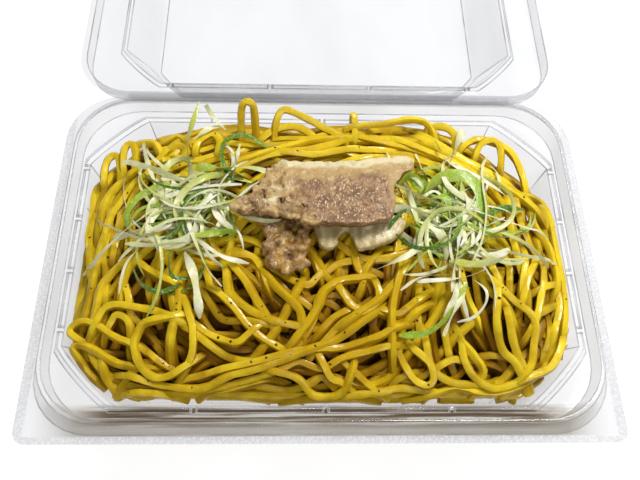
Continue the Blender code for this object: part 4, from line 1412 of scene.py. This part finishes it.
# The shreds that stand out, in the order they lie: kind, width, and plan route or standing route
LEFT_SHREDS = (
    ("green", 4.0, ((-43.0, 21.3), (-34.1, 19.9), (-26.4, 17.9))),
    ("green", 2.6, ((-50.9, 15.0), (-59.8, 11.3), (-64.1, 5.5), (-63.8, 0.0))),
    ("green", 2.6, ((-43.8, -4.7), (-34.9, -3.5), (-28.2, -2.5))),
    ("dark", 1.7, ((-61.3, -12.8), (-57.8, -19.0), (-51.5, -21.9), (-45.3, -19.2))),
    ("dark", 1.7, ((-49.5, -8.8), (-48.0, -17.2), (-42.2, -17.7))),
    ("dark", 1.7, ((-16.9, 30.3), (-28.1, 36.7), (-34.6, 30.3), (-32.7, 19.7), (-29.8, 15.0))),
    ("pale", 1.3, ((-28.5, 31.2), (-29.4, 21.2))),
    ("pale", 2.3, ((-69.8, 27.4), (-59.2, 21.6), (-46.0, 15.5))),
    ("pale", 1.3, ((-63.6, 36.8), (-59.3, 29.0), (-52.5, 21.3))),
    ("pale", 1.7, ((-63.2, 36.3), (-60.1, 26.1), (-55.8, 14.8))),
    ("pale", 2.0, ((-63.8, 0.0), (-58.3, -3.9), (-50.9, -1.9), (-48.2, 2.2))),
    ("pale", 1.3, ((-82.8, 15.5), (-74.3, 4.7), (-66.1, -1.4), (-56.8, -5.4), (-48.7, -4.5))),
    ("pale", 1.7, ((-63.8, -6.0), (-54.3, -8.0), (-43.7, -6.7))),
    ("pale", 1.7, ((-41.2, -5.4), (-32.6, -11.3), (-24.0, -13.1))),
    ("pale", 2.3, ((-37.2, 10.5), (-34.8, 3.1), (-29.4, -2.2))),
    ("pale", 1.3, ((-31.2, 8.2), (-31.2, 2.7))),
    ("pale", 3.0, ((-44.5, -9.5), (-41.2, -16.7), (-39.3, -26.1), (-38.8, -30.2))),
    ("pale", 1.0, ((-59.1, -8.2), (-62.5, -14.0), (-64.4, -22.3))),
    ("pale", 2.5, ((-53.6, 9.3), (-41.9, 12.5), (-27.2, 14.6))),
    ("pale", 2.0, ((-50.3, 16.7), (-45.3, 4.2), (-40.7, -7.4), (-36.8, -15.4), (-32.2, -20.8))),
    ("mid", 3.3, ((-42.7, 14.0, 19.6), (-46.1, 29.0, 20.6), (-43.2, 46.5, 22.3))),
    ("pale", 2.0, ((-40.8, 45.5, 22.0), (-38.5, 42.5, 19.5), (-34.0, 39.5, 15.5))),
    ("pale", 2.0, ((-35.0, 41.0, 16.0), (-40.0, 39.0, 17.0), (-44.8, 35.0, 16.5))),
)
RIGHT_SHREDS = (
    ("green", 4.0, ((24.1, 13.7), (28.5, 18.1), (32.8, 12.8))),
    ("green", 3.3, ((31.5, 8.2), (39.4, 9.6), (39.8, 3.0))),
    ("green", 4.3, ((32.7, 10.5), (37.9, 16.9), (45.4, 18.8), (50.4, 16.4), (52.4, 9.3), (48.0, 3.3))),
    ("green", 2.3, ((44.7, -19.0), (41.7, -25.0), (37.7, -30.5), (31.6, -34.6), (23.2, -34.9))),
    ("pale", 1.3, ((22.3, 31.3), (23.4, 26.7))),
    ("pale", 1.3, ((32.3, 30.3), (34.3, 20.9))),
    ("pale", 1.7, ((28.7, 18.7), (33.1, 13.4))),
    ("pale", 2.3, ((26.8, 15.9), (28.6, 7.6), (30.2, 1.1))),
    ("pale", 1.3, ((32.5, 9.9), (36.4, 12.3), (39.5, 9.1), (41.0, 3.6), (40.1, -2.9))),
    ("pale", 1.7, ((41.3, 6.9), (44.4, 0.5), (45.8, -6.2))),
    ("pale", 1.3, ((43.8, 4.8), (48.0, -1.2), (47.4, -7.2))),
    ("pale", 1.3, ((60.0, 4.3), (52.9, 0.3), (46.8, -2.6), (43.7, -7.3))),
    ("pale", 3.0, ((30.9, 1.1), (36.2, -2.0), (38.8, -7.5), (38.5, -12.0))),
    ("pale", 2.0, ((34.1, -4.9), (27.6, -10.2), (21.7, -13.3), (14.2, -16.0))),
    ("mid", 2.6, ((39.6, -12.2), (46.4, -13.9), (52.8, -12.6), (58.2, -10.5))),
    ("pale", 1.7, ((28.9, -19.0), (37.2, -18.8), (45.1, -17.6), (51.6, -14.7))),
    ("pale", 1.3, ((23.7, -21.9), (29.9, -18.0), (39.3, -16.8))),
    ("pale", 2.0, ((41.7, -19.7), (40.1, -25.1), (36.7, -30.4))),
    ("pale", 1.7, ((43.8, -22.5), (39.5, -29.7), (36.5, -36.0))),
    ("pale", 1.0, ((47.0, -18.6), (50.3, -22.3), (49.7, -26.7), (45.9, -30.5), (41.1, -31.5))),
    ("pale", 1.3, ((57.9, 29.8), (54.4, 23.3), (53.3, 14.3), (53.3, 5.1), (51.1, -4.6), (47.0, -12.8))),
    ("pale", 1.0, ((58.5, 26.5), (60.1, 21.8), (60.0, 15.4))),
    ("pale", 1.7, ((39.4, 34.7), (41.6, 25.7), (45.5, 21.8), (53.8, 17.7), (61.2, 13.2))),
    ("pale", 2.6, ((49.2, 38.5, 18.5), (45.8, 30.3, 18.5), (42.4, 23.0, 19.0))),
)


def onion_finish():
    """Marks: green from the white root end to the dark leaf, shade from one shred to the next."""
    onion = Finish(
        "onion", roughness=0.32, coat_roughness=0.12, coat_ior=1.4, subsurface_weight=0.2,
        subsurface_radius=(0.002, 0.003, 0.001), subsurface_scale=0.5, specular_ior_level=0.3,
    )
    green, shade = onion.mark("green"), onion.mark("shade")
    vein, patch = onion.grain(0.8 * MM, 3.0), onion.grain(4 * MM, 2.0)
    root = onion.mix(shade, (1.0, 1.0, 0.79, 1), (0.90, 0.92, 0.52, 1))
    white = onion.mix(onion.span(patch, 0.40, 0.70), root, (0.76, 0.77, 0.33, 1))
    leaf = onion.mix(onion.span(green, 0.14, 0.42), white, (0.52, 0.58, 0.075, 1))
    fresh = onion.mix(onion.span(green, 0.42, 0.68), leaf, (0.26, 0.42, 0.015, 1))
    deep = onion.mix(onion.span(green, 0.72, 1.0), fresh, (0.035, 0.13, 0.008, 1))
    veined = onion.mix(onion.span(vein, 0.5, 0.75, 0.0, 0.35), deep, (0.86, 0.88, 0.66, 1))
    onion.set(
        base_color=veined, coat_weight=onion.span(vein, 0.4, 0.65, 0.1, 0.5),
        alpha=onion.span(green, 0.1, 0.6, 0.80, 1.0),
        normal=onion.bump(onion.grain(0.7 * MM, 2.0), 0.16 * MM),
    )
    return onion


onion = onion_finish()
for node, listed in (("onion_left", LEFT_SHREDS), ("onion_right", RIGHT_SHREDS)):
    shreds = loose_shreds(*TUFTS[node])
    for kind, width, route in listed:
        shreds.append(shred(route, width, kind, arch=rng.uniform(0.2, 1.6)))
    tuft = draw_strips(node + "_shreds", shreds, SHRED_SECTION)
    fit_food(tuft, onion, node)


# Floor and light: a plain white table, a soft light overhead and behind, a weaker one in front, and pale
# light all round.

FLOOR_SIZE = 6
FLOOR_PLACE = (0, 0, -0.0004)
LIGHT_AIM = (0.02, 0, 0.03)

let_go()
bpy.ops.mesh.primitive_plane_add(size=FLOOR_SIZE, location=FLOOR_PLACE)
floor = bpy.context.object
floor.name = "floor"
white = Finish(
    "floor_white", base_color=(0.25, 0.25, 0.25, 1), roughness=0.8,
    emission_color=(1, 1, 1, 1), emission_strength=0.87,
)
floor.data.materials.append(white.material)


def soft_light(name, place, aim, size, power):
    """A square area light at that place, turned to its aim."""
    bpy.ops.object.light_add(type="AREA", location=place)
    light = bpy.context.object
    light.name = name
    light.data.size = size
    light.data.energy = power
    light.rotation_euler = (Vector(aim) - Vector(place)).to_track_quat("-Z", "Y").to_euler()


soft_light("light_overhead", (0.20, 0.26, 0.62), LIGHT_AIM, 0.24, 4.3)
soft_light("light_front", (0.12, -0.46, 0.60), LIGHT_AIM, 0.4, 1.5)
world = bpy.data.worlds.new("soft_room")
world.use_nodes = True
world.node_tree.nodes["Background"].inputs["Color"].default_value = (1, 1, 1, 1)
world.node_tree.nodes["Background"].inputs["Strength"].default_value = 0.17
bpy.context.scene.world = world
